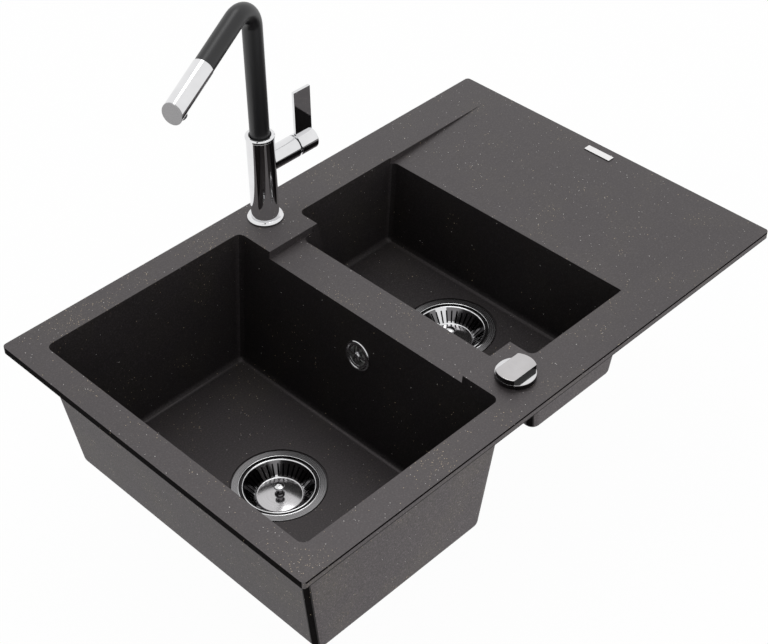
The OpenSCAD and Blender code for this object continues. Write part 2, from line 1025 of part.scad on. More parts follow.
// The bush carries the spout's foot: a lip below it and a lining round it
module spout_bush() {
    color("#ececea")
        at_tap() {
            ring(14.85, spout_d / 2 + running_gap, foot_z - 3, body_z1 - foot_z + 3);
            ring(14.85, 10, foot_z - 4, 1);
        }
}

// The spout, drawn in its own plane with the leg falling towards +X
module at_spout() {
    at_tap()
        rotate([0, 0, 180 + spout_turn])
            children();
}

// Along the leg: +Z runs from the bend to the tip and +X points down
module at_leg() {
    at_spout()
        translate([leg_x0, 0, leg_z0])
            rotate([0, bend_angle, 0])
                children();
}

// The tube's path as a solid. The straight lengths reach a little way into the bend, and are a
// trace thicker than it, so that the pieces join cleanly.
module spout_path(r, below, beyond) {
    join = 0.6;
    straight_r = r + tube_step;
    translate([0, 0, foot_z - 3 - below])
        cylinder(r = straight_r, h = bend_h + join - foot_z + 3 + below);
    translate([bend_r, 0, bend_h])
        rotate([90, 0, 0])
            rotate([0, 0, 180 - bend_angle])
                rotate_extrude(angle = bend_angle)
                    translate([bend_r, 0])
                        circle(r = r);
    translate([leg_x0, 0, leg_z0])
        rotate([0, bend_angle, 0])
            translate([0, 0, -join])
                cylinder(r = straight_r, h = leg_l + join + beyond);
}

module spout_tube() {
    outer_r = spout_d / 2 - tube_step;
    color("#1b1b1d")
        at_spout()
            difference() {
                spout_path(outer_r, 0, 0);
                spout_path(outer_r - spout_wall, 1, 1);
            }
}

module spout_end_bush() {
    color("#ececea")
        at_leg()
            ring(spout_d / 2 - spout_wall, 9, leg_l - 14, 14);
}

// The spray head's tip is cut upright, and the cap closes it
module tip_side(x, l) {
    at_spout()
        translate([x, -30, leg_z0 - 90])
            cube([l, 60, 120]);
}

module spray_head() {
    bore_r = head_d / 2 - 1.8;
    color("#e2e4e6")
        difference() {
            at_leg()
                translate([0, 0, leg_l + joint_gap])
                    cylinder(d = head_d, h = head_end - leg_l + 10);
            at_leg()
                translate([0, 0, leg_l])
                    cylinder(r = bore_r, h = head_end);
            at_leg()
                translate([0, 0, aerator_s])
                    rotate([0, 90, 0])
                        cylinder(r = aerator_r + 0.02, h = 40);
            tip_side(tip_x - cap_t, 60);
        }
}

module spray_end_cap() {
    color("#98989a")
        intersection() {
            at_leg()
                translate([0, 0, leg_l + joint_gap])
                    cylinder(d = head_d, h = head_end - leg_l + 10);
            tip_side(tip_x - cap_t, cap_t);
        }
}

// The aerator stands a little proud of the head, and water leaves it through seven holes
module aerator() {
    color("#5a5b5d")
        at_leg()
            translate([0, 0, aerator_s])
                rotate([0, 90, 0])
                    difference() {
                        translate([0, 0, 5])
                            cylinder(r = aerator_r, h = head_d / 2 - 2);
                        translate([0, 0, 7])
                            cylinder(r = aerator_r - 1.5, h = 20);
                        cylinder(r = 1, h = 20);
                        for (a = [0 : 60 : 300])
                            rotate([0, 0, a])
                                translate([3.4, 0, 0])
                                    cylinder(r = 1, h = 20);
                    }
}

// The inlet of the spray head carries the hose's nipple and slides in the bush
module head_inlet() {
    bore_r = head_d / 2 - 1.8 - 0.02;
    color("#c9b46a")
        at_leg()
            difference() {
                union() {
                    translate([0, 0, leg_l - 12])
                        cylinder(r = 8.7, h = 24);
                    translate([0, 0, leg_l + 2])
                        cylinder(r = bore_r, h = 10);
                }
                translate([0, 0, leg_l - 13])
                    cylinder(r = 3.4, h = 40);
            }
}

module spray_hose() {
    color("#8b8c8e")
        at_leg()
            ring(hose_r, 3.4, 3, leg_l - 15);
}

// Lever: along the barrel +Z runs outwards from the tap's axis, with +X pointing down
module at_barrel() {
    at_tap()
        translate([0, 0, barrel_h])
            rotate([0, 90, 0])
                children();
}

module cartridge_housing() {
    color("#e8e8e4")
        at_barrel()
            translate([0, 0, cartridge_x0])
                cylinder(r = barrel_bore_r - 0.05, h = cartridge_x1 - cartridge_x0 - 0.1);
}

module cartridge_nut() {
    color("#c9b46a")
        at_barrel()
            ring(barrel_bore_r, rotor_r + joint_gap, cartridge_x1, 6);
}

module trim_dome() {
    color("#d9dbdd")
        at_barrel()
            rotate_extrude()
                polygon([[rotor_r + joint_gap, cartridge_x1 + 6], [11.4, cartridge_x1 + 6],
                         [11.4, barrel_end],
                         [10.4, barrel_end + 1.2], [rotor_r + joint_gap, barrel_end + 1.6]]);
}

// The rotor turns for the temperature; its slot lets the lever's stem tilt
module cartridge_rotor() {
    color("#f0f0ec")
        at_barrel()
            difference() {
                translate([0, 0, cartridge_x1])
                    cylinder(r = rotor_r, h = 9);
                translate([-20, -stem_w / 2 - joint_gap, cartridge_x1 + 1.3])
                    cube([40, stem_w + 2 * joint_gap, 20]);
                translate([0, -20, pivot_x])
                    rotate([-90, 0, 0])
                        cylinder(r = 1.5, h = 40);
            }
}

module rotor_pin() {
    color("#b5b7b9")
        at_barrel()
            translate([0, -7.6, pivot_x])
                rotate([-90, 0, 0])
                    cylinder(r = 1.5, h = 15.2);
}

module lever_stem() {
    color("#b5b7b9")
        at_barrel()
            difference() {
                translate([-stem_w / 2, -stem_w / 2, pivot_x - 2.4])
                    cube([stem_w, stem_w, hub_bore_end + 8 - pivot_x]);
                translate([0, -20, pivot_x])
                    rotate([-90, 0, 0])
                        cylinder(r = 1.5 + running_gap, h = 40);
            }
}

// The hub's inner edge is bevelled below, so that it clears the barrel when tilted
module lever_hub() {
    hub_r = barrel_d / 2;
    bevel = hub_r * sin(lever_tilt) / cos(lever_tilt);
    reach = (barrel_end + joint_gap - pivot_x) / cos(lever_tilt);
    color("#dfe1e3")
        at_barrel()
            difference() {
                rotate_extrude()
                    polygon([[0, hub_bore_end], [hub_bore_r, hub_bore_end], [hub_bore_r, hub_x0],
                             [hub_r, hub_x0], [hub_r, hub_end - 1.4], [hub_r - 1.4, hub_end],
                             [0, hub_end]]);
                translate([-stem_w / 2 - 0.02, -stem_w / 2 - 0.02, hub_x0])
                    cube([stem_w + 0.04, stem_w + 0.04, hub_bore_end + 6 - hub_x0]);
                translate([0, 0, pivot_x + reach])
                    rotate([0, -lever_tilt, 0])
                        translate([0, -30, -30])
                            cube([60, 60, 30]);
                translate([0, 0, hub_bore_end + 3])
                    rotate([0, 90, 0])
                        cylinder(r = 2, h = 30);
            }
}

module lever_blade() {
    color("#cfd1d3")
        difference() {
            at_tap()
                translate([hub_x0 + 0.4, -blade_t / 2, barrel_h])
                    cube([hub_end - hub_x0 - 0.8, blade_t, blade_top]);
            at_barrel()
                cylinder(d = barrel_d, h = 100);
        }
}

module lever_grub_screw() {
    color("#8d8f91")
        at_barrel()
            translate([stem_w / 2 + 0.1, 0, hub_bore_end + 3])
                rotate([0, 90, 0])
                    cylinder(r = 1.98, h = 8);
}

// Under the deck
module tap_shank() {
    color("#c9b46a")
        at_tap()
            ring(shank_r, 11, shank_end, body_z0 + 10 - shank_end);
}

module tap_nut() {
    color("#c9b46a")
        at_tap() {
            ring(24, shank_r + 0.02, -5, 2);
            translate([0, 0, -14])
                difference() {
                    cylinder(r = 22, h = 9, $fn = 6);
                    translate([0, 0, -1])
                        cylinder(r = shank_r + 0.02, h = 20);
                }
        }
}

module supply_sockets() {
    color("#b98a5a")
        at_tap()
            for (sy = [-1, 1])
                translate([-3.4, sy * 4.9, shank_end + 12])
                    difference() {
                        cylinder(r = 4.5, h = body_z0 + 28 - shank_end - 12);
                        translate([0, 0, -1])
                            cylinder(r = 3.5, h = 15);
                    }
}

sink_rim();
divider();
drainer();
main_bowl_walls();
main_bowl_floor();
overflow_wall();
half_bowl_walls();
half_bowl_floor();
name_plate();
rim_seal();
seals();
waste_flanges();
main_basket();
half_basket();
main_basket_knob();
half_basket_knob();
main_basket_seal();
half_basket_seal();
waste_cups();
cup_bridges();
waste_tails();
clamp_screws();
lift_pin();
overflow_rose();
overflow_screw();
overflow_elbow();
overflow_pipe();
overflow_nuts();
knob();
knob_grub_screw();
knob_bush();
deck_washers();
knob_nut();
knob_spindle();
cable_drum();
cable_housing();
cable_glands();
tap_base_ring();
tap_body();
tap_collar();
spout_bush();
spout_tube();
spout_end_bush();
spray_head();
spray_end_cap();
aerator();
head_inlet();
spray_hose();
cartridge_housing();
cartridge_nut();
trim_dome();
cartridge_rotor();
rotor_pin();
lever_stem();
lever_hub();
lever_blade();
lever_grub_screw();
tap_shank();
tap_nut();
supply_sockets();
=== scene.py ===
# The sink's looks: camera, stage, light, materials and the finer meshes that stand for CAD nodes.
import json
import math

import bmesh
import bpy
from mathutils import Matrix, Vector


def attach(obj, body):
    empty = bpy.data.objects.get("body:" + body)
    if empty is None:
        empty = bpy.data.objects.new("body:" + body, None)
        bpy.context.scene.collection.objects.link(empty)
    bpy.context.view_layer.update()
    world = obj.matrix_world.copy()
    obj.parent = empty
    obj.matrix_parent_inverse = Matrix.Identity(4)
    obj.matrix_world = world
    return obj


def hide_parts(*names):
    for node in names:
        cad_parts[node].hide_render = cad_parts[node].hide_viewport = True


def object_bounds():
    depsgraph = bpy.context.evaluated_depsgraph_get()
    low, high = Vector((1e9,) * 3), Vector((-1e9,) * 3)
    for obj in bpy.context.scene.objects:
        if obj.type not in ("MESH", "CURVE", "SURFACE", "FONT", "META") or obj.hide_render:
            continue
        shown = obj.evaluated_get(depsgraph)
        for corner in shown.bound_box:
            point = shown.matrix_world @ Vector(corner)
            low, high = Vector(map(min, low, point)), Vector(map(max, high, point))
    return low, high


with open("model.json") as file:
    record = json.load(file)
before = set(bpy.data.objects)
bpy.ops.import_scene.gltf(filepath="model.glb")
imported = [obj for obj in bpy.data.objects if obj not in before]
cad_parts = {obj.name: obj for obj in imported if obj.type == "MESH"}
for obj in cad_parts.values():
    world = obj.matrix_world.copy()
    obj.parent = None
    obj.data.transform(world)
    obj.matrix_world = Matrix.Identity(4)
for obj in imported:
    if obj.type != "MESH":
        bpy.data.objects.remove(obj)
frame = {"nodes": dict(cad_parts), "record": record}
cad_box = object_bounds()
MM = 0.001


# Camera at the photograph's viewing angle
SENSOR_MM, FOCAL_PX, FRAME_PX = 36.0, 1636.94, 768.0
cam_data = bpy.data.cameras.new("camera")
cam_data.sensor_width = SENSOR_MM
cam_data.lens = SENSOR_MM * FOCAL_PX / FRAME_PX
cam_data.clip_start = 0.05
cam_data.clip_end = 50.0
cam = bpy.data.objects.new("camera", cam_data)
cam.location = (-1.061655, -1.042387, 1.237022)
cam.rotation_euler = (0.85921613, 0.00972139, -0.78977045)
bpy.context.scene.collection.objects.link(cam)
bpy.context.scene.camera = cam
bpy.context.scene.view_settings.view_transform = "Standard"


# Sizes of the part in millimetres, as in its source
RIM_L, RIM_W, RIM_T, RIM_R = 780.0, 500.0, 10.0, 5.0
STRIP_GAP, WALL, DIVIDER_TOP = 0.5, 8.0, 0.5
GROOVE_OUT, GROOVE_IN, GROOVE_TOP = 3.0, 9.0, 2.1
MAIN = dict(x0=-356.0, x1=-63.5, hy=213.0, sx=24.0 / 183.0, sy=12.0 / 183.0, floor=-173.0)
HALF_A = dict(x0=15.5, x1=184.0, hy=192.0, sx=18.0 / 122.0, sy=8.0 / 122.0, floor=-112.0)
HALF_B = dict(HALF_A, x0=-12.0, hy=158.5)
PLATFORM_Y = 158.5
DRAIN_X1, DRAIN_W, DRAIN_DROP = 352.0, 382.0, 8.0
WASTES = ((-206.0, -173.0), (89.5, -112.0))
WASTE_RECESS = ((59.0, -1.5), (51.0, -4.2), (45.0, -20.0))
KNOB = (-23.0, -200.5)
TAP = (-18.5, 215.7)
HOLE_R = 17.5
BARREL_Z, BARREL_L, BARREL_R = 88.5, 52.6, 14.2
ROSE_Z = -54.0
ROSE_HOLE_R = 14.0
PLATE_X, PLATE_Y, PLATE_HX, PLATE_HY, PLATE_T = 373.3, 3.4, 5.25, 20.5, 1.2


# Material helpers
def material(name):
    mat = bpy.data.materials.new(name)
    mat.use_nodes = True
    nt = mat.node_tree
    return mat, nt, nt.nodes["Principled BSDF"]


def coords(nt, scale=(1.0, 1.0, 1.0), output="Object"):
    tc = nt.nodes.new("ShaderNodeTexCoord")
    mp = nt.nodes.new("ShaderNodeMapping")
    mp.inputs["Scale"].default_value = scale
    nt.links.new(tc.outputs[output], mp.inputs["Vector"])
    return mp.outputs["Vector"]


def noise(nt, vec, scale, detail, rough):
    n = nt.nodes.new("ShaderNodeTexNoise")
    n.inputs["Scale"].default_value = scale
    n.inputs["Detail"].default_value = detail
    n.inputs["Roughness"].default_value = rough
    nt.links.new(vec, n.inputs["Vector"])
    return n.outputs["Fac"]


def scaled(color, k):
    """A colour times a factor."""
    return tuple(c * k for c in color)


def ramp(nt, fac, stops):
    """A colour ramp over fac. A stop is (position, grey or colour)."""
    r = nt.nodes.new("ShaderNodeValToRGB")
    el = r.color_ramp.elements
    while len(el) < len(stops):
        el.new(0.5)
    for e, (p, c) in zip(el, stops):
        e.position = p
        e.color = (c, c, c, 1.0) if isinstance(c, float) else (c[0], c[1], c[2], 1.0)
    nt.links.new(fac, r.inputs["Fac"])
    return r.outputs["Color"]


def link_ramp(nt, fac, stops, sock):
    nt.links.new(ramp(nt, fac, stops), sock)


def math_node(nt, operation, *values):
    """A math node. A value is a number or a socket."""
    m = nt.nodes.new("ShaderNodeMath")
    m.operation = operation
    for sock, v in zip(m.inputs, values):
        if isinstance(v, (float, int)):
            sock.default_value = v
        else:
            nt.links.new(v, sock)
    return m.outputs[0]


def mix(nt, fac, a, b):
    """A mix of two colours. The factor and each colour may be a value or a socket."""
    m = nt.nodes.new("ShaderNodeMix")
    m.data_type = "RGBA"
    for sock, v in ((m.inputs[0], fac), (m.inputs[6], a), (m.inputs[7], b)):
        if isinstance(v, (float, int)):
            sock.default_value = v
        elif isinstance(v, tuple):
            sock.default_value = (v[0], v[1], v[2], 1.0)
        else:
            nt.links.new(v, sock)
    return m.outputs[2]


def bump(nt, bsdf, height, strength, distance):
    b = nt.nodes.new("ShaderNodeBump")
    b.inputs["Strength"].default_value = strength
    b.inputs["Distance"].default_value = distance
    nt.links.new(height, b.inputs["Height"])
    nt.links.new(b.outputs["Normal"], bsdf.inputs["Normal"])


def specks(nt, vec, scale, share, size, seed):
    """Dots in a share of a Voronoi pattern's cells. The share may be a value of the shader."""
    v = nt.nodes.new("ShaderNodeTexVoronoi")
    v.inputs["Scale"].default_value = scale
    off = nt.nodes.new("ShaderNodeVectorMath")
    off.operation = "ADD"
    off.inputs[1].default_value = (seed, seed * 0.7, seed * 1.3)
    nt.links.new(vec, off.inputs[0])
    nt.links.new(off.outputs[0], v.inputs["Vector"])
    sep = nt.nodes.new("ShaderNodeSeparateColor")
    nt.links.new(v.outputs["Color"], sep.inputs[0])
    reach = math_node(nt, "MULTIPLY_ADD", sep.outputs[1], size, size * 0.5)
    near = math_node(nt, "LESS_THAN", v.outputs["Distance"], reach)
    pick = math_node(nt, "LESS_THAN", sep.outputs[0], share)
    return math_node(nt, "MULTIPLY", near, pick)


# The granite's grain in full light, and its specks
GRAIN_LOW, GRAIN_HIGH = (0.0175, 0.0150, 0.0155), (0.0300, 0.0262, 0.0272)
GRAIN_WARM = (0.0310, 0.0275, 0.0235)
GOLD, PALE = (0.42, 0.34, 0.23), (0.62, 0.60, 0.58)


def granite_material(name, shade_of, rough, spec, gold_share, pale_share):
    """Dark composite with a fine grain, sparse pale specks, and gold ones in loose clusters."""
    mat, nt, bsdf = material(name)
    vec = coords(nt)
    fine = noise(nt, vec, 1100.0, 3.0, 0.7)
    broad = noise(nt, vec, 14.0, 3.0, 0.55)
    lo, hi, warm = (scaled(c, shade_of) for c in (GRAIN_LOW, GRAIN_HIGH, GRAIN_WARM))
    base = ramp(nt, fine, [(0.30, lo), (0.72, hi)])
    base = mix(nt, ramp(nt, broad, [(0.46, 0.0), (0.64, 0.5)]), base, warm)
    grain = noise(nt, vec, 520.0, 2.0, 0.6)
    base = mix(nt, ramp(nt, grain, [(0.52, 0.0), (0.72, 0.55)]), base, scaled(hi, 2.4))
    base = mix(nt, ramp(nt, grain, [(0.30, 0.55), (0.48, 0.0)]), base, scaled(lo, 0.3))
    sep = nt.nodes.new("ShaderNodeSeparateXYZ")
    nt.links.new(vec, sep.inputs[0])
    # More of the gold ones lie on the left of the sink
    along = math_node(nt, "MULTIPLY_ADD", sep.outputs[0], 1.6, 0.55)
    along = ramp(nt, along, [(0.35, 1.15), (0.62, 0.40)])
    cluster = ramp(nt, broad, [(0.47, 0.05), (0.66, 1.0)])
    cluster = math_node(nt, "MULTIPLY", cluster, gold_share)
    cluster = math_node(nt, "MULTIPLY", cluster, along)
    gold = specks(nt, vec, 620.0, cluster, 0.24, 3.1)
    pale = specks(nt, vec, 560.0, pale_share, 0.20, 11.7)
    dark = specks(nt, vec, 380.0, 0.05, 0.24, 7.9)
    col = mix(nt, dark, base, scaled(lo, 0.6))
    col = mix(nt, gold, col, GOLD)
    col = mix(nt, pale, col, PALE)
    bsdf.inputs["Specular IOR Level"].default_value = spec
    bsdf.inputs["Specular Tint"].default_value = (1.0, 0.93, 0.95, 1.0)
    nt.links.new(col, bsdf.inputs["Base Color"])
    link_ramp(nt, fine, [(0.3, rough[0]), (0.7, rough[1])], bsdf.inputs["Roughness"])
    bump(nt, bsdf, fine, 0.14, 0.0005)
    return mat


def metal_material(name, color, rough, spread, stretch=(1.0, 1.0, 1.0), grain=60.0, relief=0.0):
    """Metal with a faint grain, which stretch turns into brushed lines."""
    mat, nt, bsdf = material(name)
    n = noise(nt, coords(nt, stretch), grain, 3.0, 0.6)
    link_ramp(nt, n, [(0.25, scaled(color, 0.92)), (0.75, color)], bsdf.inputs["Base Color"])
    smooth, dull = max(rough - spread, 0.02), rough + spread
    link_ramp(nt, n, [(0.2, smooth), (0.8, dull)], bsdf.inputs["Roughness"])
    bsdf.inputs["Metallic"].default_value = 1.0
    if relief:
        bump(nt, bsdf, n, relief, 0.0002)
    return mat


def turned_material(name, color, rough, spread, rings, relief):
    """Metal with the fine circles that a lathe leaves, round the middle of a piece."""
    mat, nt, bsdf = material(name)
    mid = nt.nodes.new("ShaderNodeVectorMath")
    mid.operation = "SUBTRACT"
    mid.inputs[1].default_value = (0.5, 0.5, 0.5)
    nt.links.new(coords(nt, output="Generated"), mid.inputs[0])
    flat = nt.nodes.new("ShaderNodeVectorMath")
    flat.operation = "MULTIPLY"
    flat.inputs[1].default_value = (1.0, 1.0, 0.0)
    nt.links.new(mid.outputs[0], flat.inputs[0])
    length = nt.nodes.new("ShaderNodeVectorMath")
    length.operation = "LENGTH"
    nt.links.new(flat.outputs[0], length.inputs[0])
    line = nt.nodes.new("ShaderNodeCombineXYZ")
    nt.links.new(length.outputs["Value"], line.inputs[0])
    n = noise(nt, line.outputs[0], rings, 2.0, 0.6)
    link_ramp(nt, n, [(0.3, scaled(color, 0.86)), (0.7, color)], bsdf.inputs["Base Color"])
    link_ramp(nt, n, [(0.25, rough - spread), (0.75, rough + spread)], bsdf.inputs["Roughness"])
    bsdf.inputs["Metallic"].default_value = 1.0
    bump(nt, bsdf, n, relief, 0.0002)
    return mat


def plain_material(name, color, rough, scale, relief, spread=0.06):
    """Coating, plastic or rubber with a fine grain."""
    mat, nt, bsdf = material(name)
    vec = coords(nt)
    n = noise(nt, vec, scale, 3.0, 0.6)
    wide = noise(nt, vec, 25.0, 2.0, 0.5)
    link_ramp(nt, wide, [(0.3, scaled(color, 0.86)), (0.7, color)], bsdf.inputs["Base Color"])
    link_ramp(nt, n, [(0.25, rough - spread), (0.75, rough + spread)], bsdf.inputs["Roughness"])
    bump(nt, bsdf, n, relief, 0.0003)
    return mat


# Painted light and shade (1 for none), roughness from and to, specular level, and the shares of
# gold and of pale specks
GRANITES = {
    "granite": (1.0, (0.36, 0.50), 0.8, 0.22, 0.03),
    # Copies of the one granite, lit and shaded by paint: painted light and painted shade
    "granite_bowl": (0.76, (0.46, 0.60), 0.34, 0.06, 0.008),
    "granite_deep": (0.38, (0.46, 0.60), 0.17, 0.03, 0.004),
    "granite_floor": (1.05, (0.42, 0.54), 0.56, 0.08, 0.012),
    "granite_edge": (0.16, (0.86, 0.96), 0.05, 0.02, 0.004),
    "granite_back": (2.9, (0.48, 0.62), 0.60, 0.14, 0.03),
    "granite_left": (1.9, (0.48, 0.62), 0.46, 0.10, 0.02),
}
# Stretch, scale and relief of brushed metal's grain
BRUSHED = ((1.0, 40.0, 40.0), 30.0, 0.05)
# Colour, roughness and its spread
METALS = {
    "chrome": ((0.80, 0.80, 0.81), 0.035, 0.02),
    # Painted highlight: a brighter steel on faces where the light would catch
    "bright_steel": ((0.74, 0.74, 0.75), 0.09, 0.03),
    "shaded_steel": ((0.17, 0.165, 0.17), 0.10, 0.04),
    # Painted shade and painted dark reflection: a near-black steel
    "deep_steel": ((0.035, 0.033, 0.034), 0.30, 0.08),
    "plate_steel": ((0.90, 0.89, 0.89), 0.20, 0.05, *BRUSHED),
    "knob_steel": ((0.57, 0.555, 0.56), 0.10, 0.03),
    # Painted shade: a black steel on faces in deep shade
    "dark_gap": ((0.008, 0.007, 0.007), 0.35, 0.08),
    "brushed_steel": ((0.60, 0.60, 0.61), 0.26, 0.07, *BRUSHED),
    "satin_metal": ((0.36, 0.355, 0.36), 0.36, 0.05),
    "brass": ((0.66, 0.48, 0.22), 0.24, 0.06),
    "copper": ((0.68, 0.36, 0.22), 0.20, 0.06),
}
# Colour, roughness and its spread, scale and relief of the circles
TURNED = {
    "polished_steel": ((0.62, 0.62, 0.63), 0.20, 0.08, 90.0, 0.05),
    "flange_steel": ((0.27, 0.265, 0.27), 0.24, 0.08, 120.0, 0.05),
    "disc_steel": ((0.56, 0.55, 0.56), 0.13, 0.04, 60.0, 0.03),
}
# Colour, roughness, scale and relief of the grain, and the roughness's spread
PLAIN = {
    "black_coat": ((0.010, 0.010, 0.011), 0.36, 900.0, 0.06, 0.05),
    "black_rubber": ((0.018, 0.018, 0.019), 0.62, 700.0, 0.2, 0.08),
    "foam": ((0.045, 0.045, 0.046), 0.85, 350.0, 0.6, 0.08),
    "white_plastic": ((0.72, 0.72, 0.70), 0.42, 600.0, 0.08),
    "grey_plastic": ((0.10, 0.10, 0.105), 0.4, 600.0, 0.08),
}
MAT = {name: make(name, *values)
       for make, rows in ((granite_material, GRANITES), (metal_material, METALS),
                          (turned_material, TURNED), (plain_material, PLAIN))
       for name, values in rows.items()}
SLOT_OF = {s["node"]: s["material_slot"] for s in frame["record"]["subparts"]}


# Mesh helpers, all in millimetres
TINY = 1e-6


def new_object(name, verts, faces):
    me = bpy.data.meshes.new(name)
    me.from_pydata([tuple(c * MM for c in v) for v in verts], [], faces)
    me.validate()
    ob = bpy.data.objects.new(name, me)
    bpy.context.scene.collection.objects.link(ob)
    return ob


def edit_mesh(ob, work):
    bm = bmesh.new()
    bm.from_mesh(ob.data)
    work(bm)
    bm.to_mesh(ob.data)
    bm.free()


def face_outwards(ob):
    edit_mesh(ob, lambda bm: bmesh.ops.recalc_face_normals(bm, faces=bm.faces))
    return ob


def shade(ob, angle, weighted=False):
    """Smooth shading, with sharp edges above an angle in degrees."""
    ob.data.shade_smooth()
    ob.data.set_sharp_from_angle(angle=math.radians(angle))
    if weighted:
        ob.modifiers.new("normals", "WEIGHTED_NORMAL").keep_sharp = True


def rounded_ring(x0, x1, hy, r, z, n=12):
    """A rectangle from x0 to x1 and from -hy to hy at a height, with n steps round each corner."""
    pts = []
    for cx, cy, a0 in ((x1 - r, hy - r, 0), (x0 + r, hy - r, 90),
                       (x0 + r, -hy + r, 180), (x1 - r, -hy + r, 270)):
        for i in range(n + 1):
            a = math.radians(a0 + 90.0 * i / n)
            pts.append((cx + r * math.cos(a), cy + r * math.sin(a), z))
    return pts


def circle_ring(r, z, n, x=0.0, y=0.0):
    angles = (2 * math.pi * i / n for i in range(n))
    return [(x + r * math.cos(a), y + r * math.sin(a), z) for a in angles]


def loft(name, rings):
    """A closed body through rings of equal length, lowest first."""
    n = len(rings[0])
    verts = [p for ring in rings for p in ring]
    faces = [tuple(reversed(range(n))), tuple(range((len(rings) - 1) * n, len(rings) * n))]
    for k in range(len(rings) - 1):
        for i in range(n):
            j = (i + 1) % n
            faces.append((k * n + i, k * n + j, (k + 1) * n + j, (k + 1) * n + i))
    return new_object(name, verts, faces)


def closed_tube(name, rings):
    """A hollow body whose rings run up the outside and back down the inside."""
    n, m = len(rings[0]), len(rings)
    verts = [p for ring in rings for p in ring]
    faces = []
    for k in range(m):
        for i in range(n):
            j, up = (i + 1) % n, (k + 1) % m
            faces.append((k * n + i, k * n + j, up * n + j, up * n + i))
    return face_outwards(new_object(name, verts, faces))


def cylinder(name, x, y, z0, z1, r, n=96):
    return loft(name, [circle_ring(r, z0, n, x, y), circle_ring(r, z1, n, x, y)])


def box(name, lo, hi):
    verts = [(x, y, z) for x in (lo[0], hi[0]) for y in (lo[1], hi[1]) for z in (lo[2], hi[2])]
    faces = [(0, 1, 3, 2), (4, 6, 7, 5), (0, 4, 5, 1), (2, 3, 7, 6), (0, 2, 6, 4), (1, 5, 7, 3)]
    return new_object(name, verts, faces)


def prism_y(name, outline, hy):
    """An outline of (x, z) points, drawn out along Y from -hy to hy."""
    n = len(outline)
    verts = [(x, -hy, z) for x, z in outline] + [(x, hy, z) for x, z in outline]
    faces = [tuple(range(n)), tuple(reversed(range(n, 2 * n)))]
    faces += [(i, i + n, (i + 1) % n + n, (i + 1) % n) for i in range(n)]
    return face_outwards(new_object(name, verts, faces))


def eased(outline, size, steps=3):
    """The outline with its corners rounded, except those on the axis and the nearly straight."""
    straight, most = -0.985, 0.42
    out = []
    for i, point in enumerate(outline):
        p = Vector(point)
        a, b = Vector(outline[i - 1]) - p, Vector(outline[(i + 1) % len(outline)]) - p
        if (point[0] < TINY or a.length < TINY or b.length < TINY
                or a.normalized().dot(b.normalized()) < straight):
            out.append(tuple(point))
            continue
        reach = min(size, most * a.length, most * b.length)
        s, e = p + a.normalized() * reach, p + b.normalized() * reach
        for k in range(steps + 1):
            t = k / steps
            out.append(tuple((1 - t) ** 2 * s + 2 * t * (1 - t) * p + t * t * e))
    return out


def lathe(name, outline, n=96):
    """Turns a closed outline of (r, z) points about Z. Points on the axis become one vertex."""
    verts, faces, index = [], [], []
    for r, z in outline:
        if r < TINY:
            index.append([len(verts)] * n)
            verts.append((0.0, 0.0, z))
        else:
            index.append(list(range(len(verts), len(verts) + n)))
            verts += circle_ring(r, z, n)
    for k in range(len(outline)):
        a, b = index[k], index[(k + 1) % len(outline)]
        for i in range(n):
            j = (i + 1) % n
            quad = [a[i], a[j], b[j], b[i]]
            face = [v for q, v in enumerate(quad) if v not in quad[:q]]
            if len(face) > 2:
                faces.append(tuple(face))
    return face_outwards(new_object(name, verts, faces))


def threaded_ring(name, r, bore, z0, z1, pitch, depth, foot, n=64, rows=6):
    """A threaded pipe. The thread runs from z0 up to foot, and the pipe goes on plain to z1.

    The thread fades out towards both its ends.
    """
    steps = int((foot - z0) / pitch * rows)
    verts = []
    for k in range(steps + 1):
        z = z0 + (foot - z0) * k / steps
        from_start = 3.0 * k / steps * (foot - z0) / (4 * pitch)
        from_end = 3.0 * (1 - k / steps) * (foot - z0) / (4 * pitch)
        fade = min(1.0, from_start, from_end)
        for i in range(n):
            phase = ((z - z0) / pitch - i / n) % 1.0
            d = depth * fade * abs(2.0 * phase - 1.0)
            a = 2 * math.pi * i / n
            verts.append(((r - d) * math.cos(a), (r - d) * math.sin(a), z))
    rings = [verts[k * n:(k + 1) * n] for k in range(steps + 1)]
    rings += [circle_ring(r, z1, n), circle_ring(bore, z1, n), circle_ring(bore, z0, n)]
    return closed_tube(name, rings)


def apply_booleans(target, tools):
    """Joins to, or cuts from, the target each (object, operation) of the tools, in their order."""
    for ob, op in tools:
        mod = target.modifiers.new("cut", "BOOLEAN")
        mod.operation = op
        mod.solver = "EXACT"
        mod.object = ob
    deps = bpy.context.evaluated_depsgraph_get()
    deps.update()
    me = bpy.data.meshes.new_from_object(target.evaluated_get(deps))
    old = target.data
    target.modifiers.clear()
    target.data = me
    bpy.data.meshes.remove(old)
    for ob, _ in tools:
        tool_mesh = ob.data
        bpy.data.objects.remove(ob)
        bpy.data.meshes.remove(tool_mesh)


def joined(name, *obs):
    """One object from several, each kept as its own shell."""
    bm = bmesh.new()
    for ob in obs:
        bm.from_mesh(ob.data)
        me = ob.data
        bpy.data.objects.remove(ob)
        bpy.data.meshes.remove(me)
    me = bpy.data.meshes.new(name)
    bm.to_mesh(me)
    bm.free()
    out = bpy.data.objects.new(name, me)
    bpy.context.scene.collection.objects.link(out)
    return out


def bevel_edges(ob, width, segments=3, angle=35.0, keep=None):
    """Eases the sharp edges of a mesh. keep(edge) picks which ones."""
    def work(bm):
        bmesh.ops.remove_doubles(bm, verts=bm.verts, dist=2e-6)
        bmesh.ops.dissolve_limit(bm, angle_limit=math.radians(0.4), verts=bm.verts, edges=bm.edges)
        bmesh.ops.dissolve_degenerate(bm, edges=bm.edges, dist=5e-6)
        edges = [e for e in bm.edges
                 if len(e.link_faces) == 2 and e.calc_face_angle(0.0) > math.radians(angle)
                 and (keep is None or keep(e))]
        bmesh.ops.bevel(bm, geom=edges, offset=width * MM, offset_type="OFFSET",
                        segments=segments, profile=0.5, affect="EDGES", clamp_overlap=True)
    edit_mesh(ob, work)


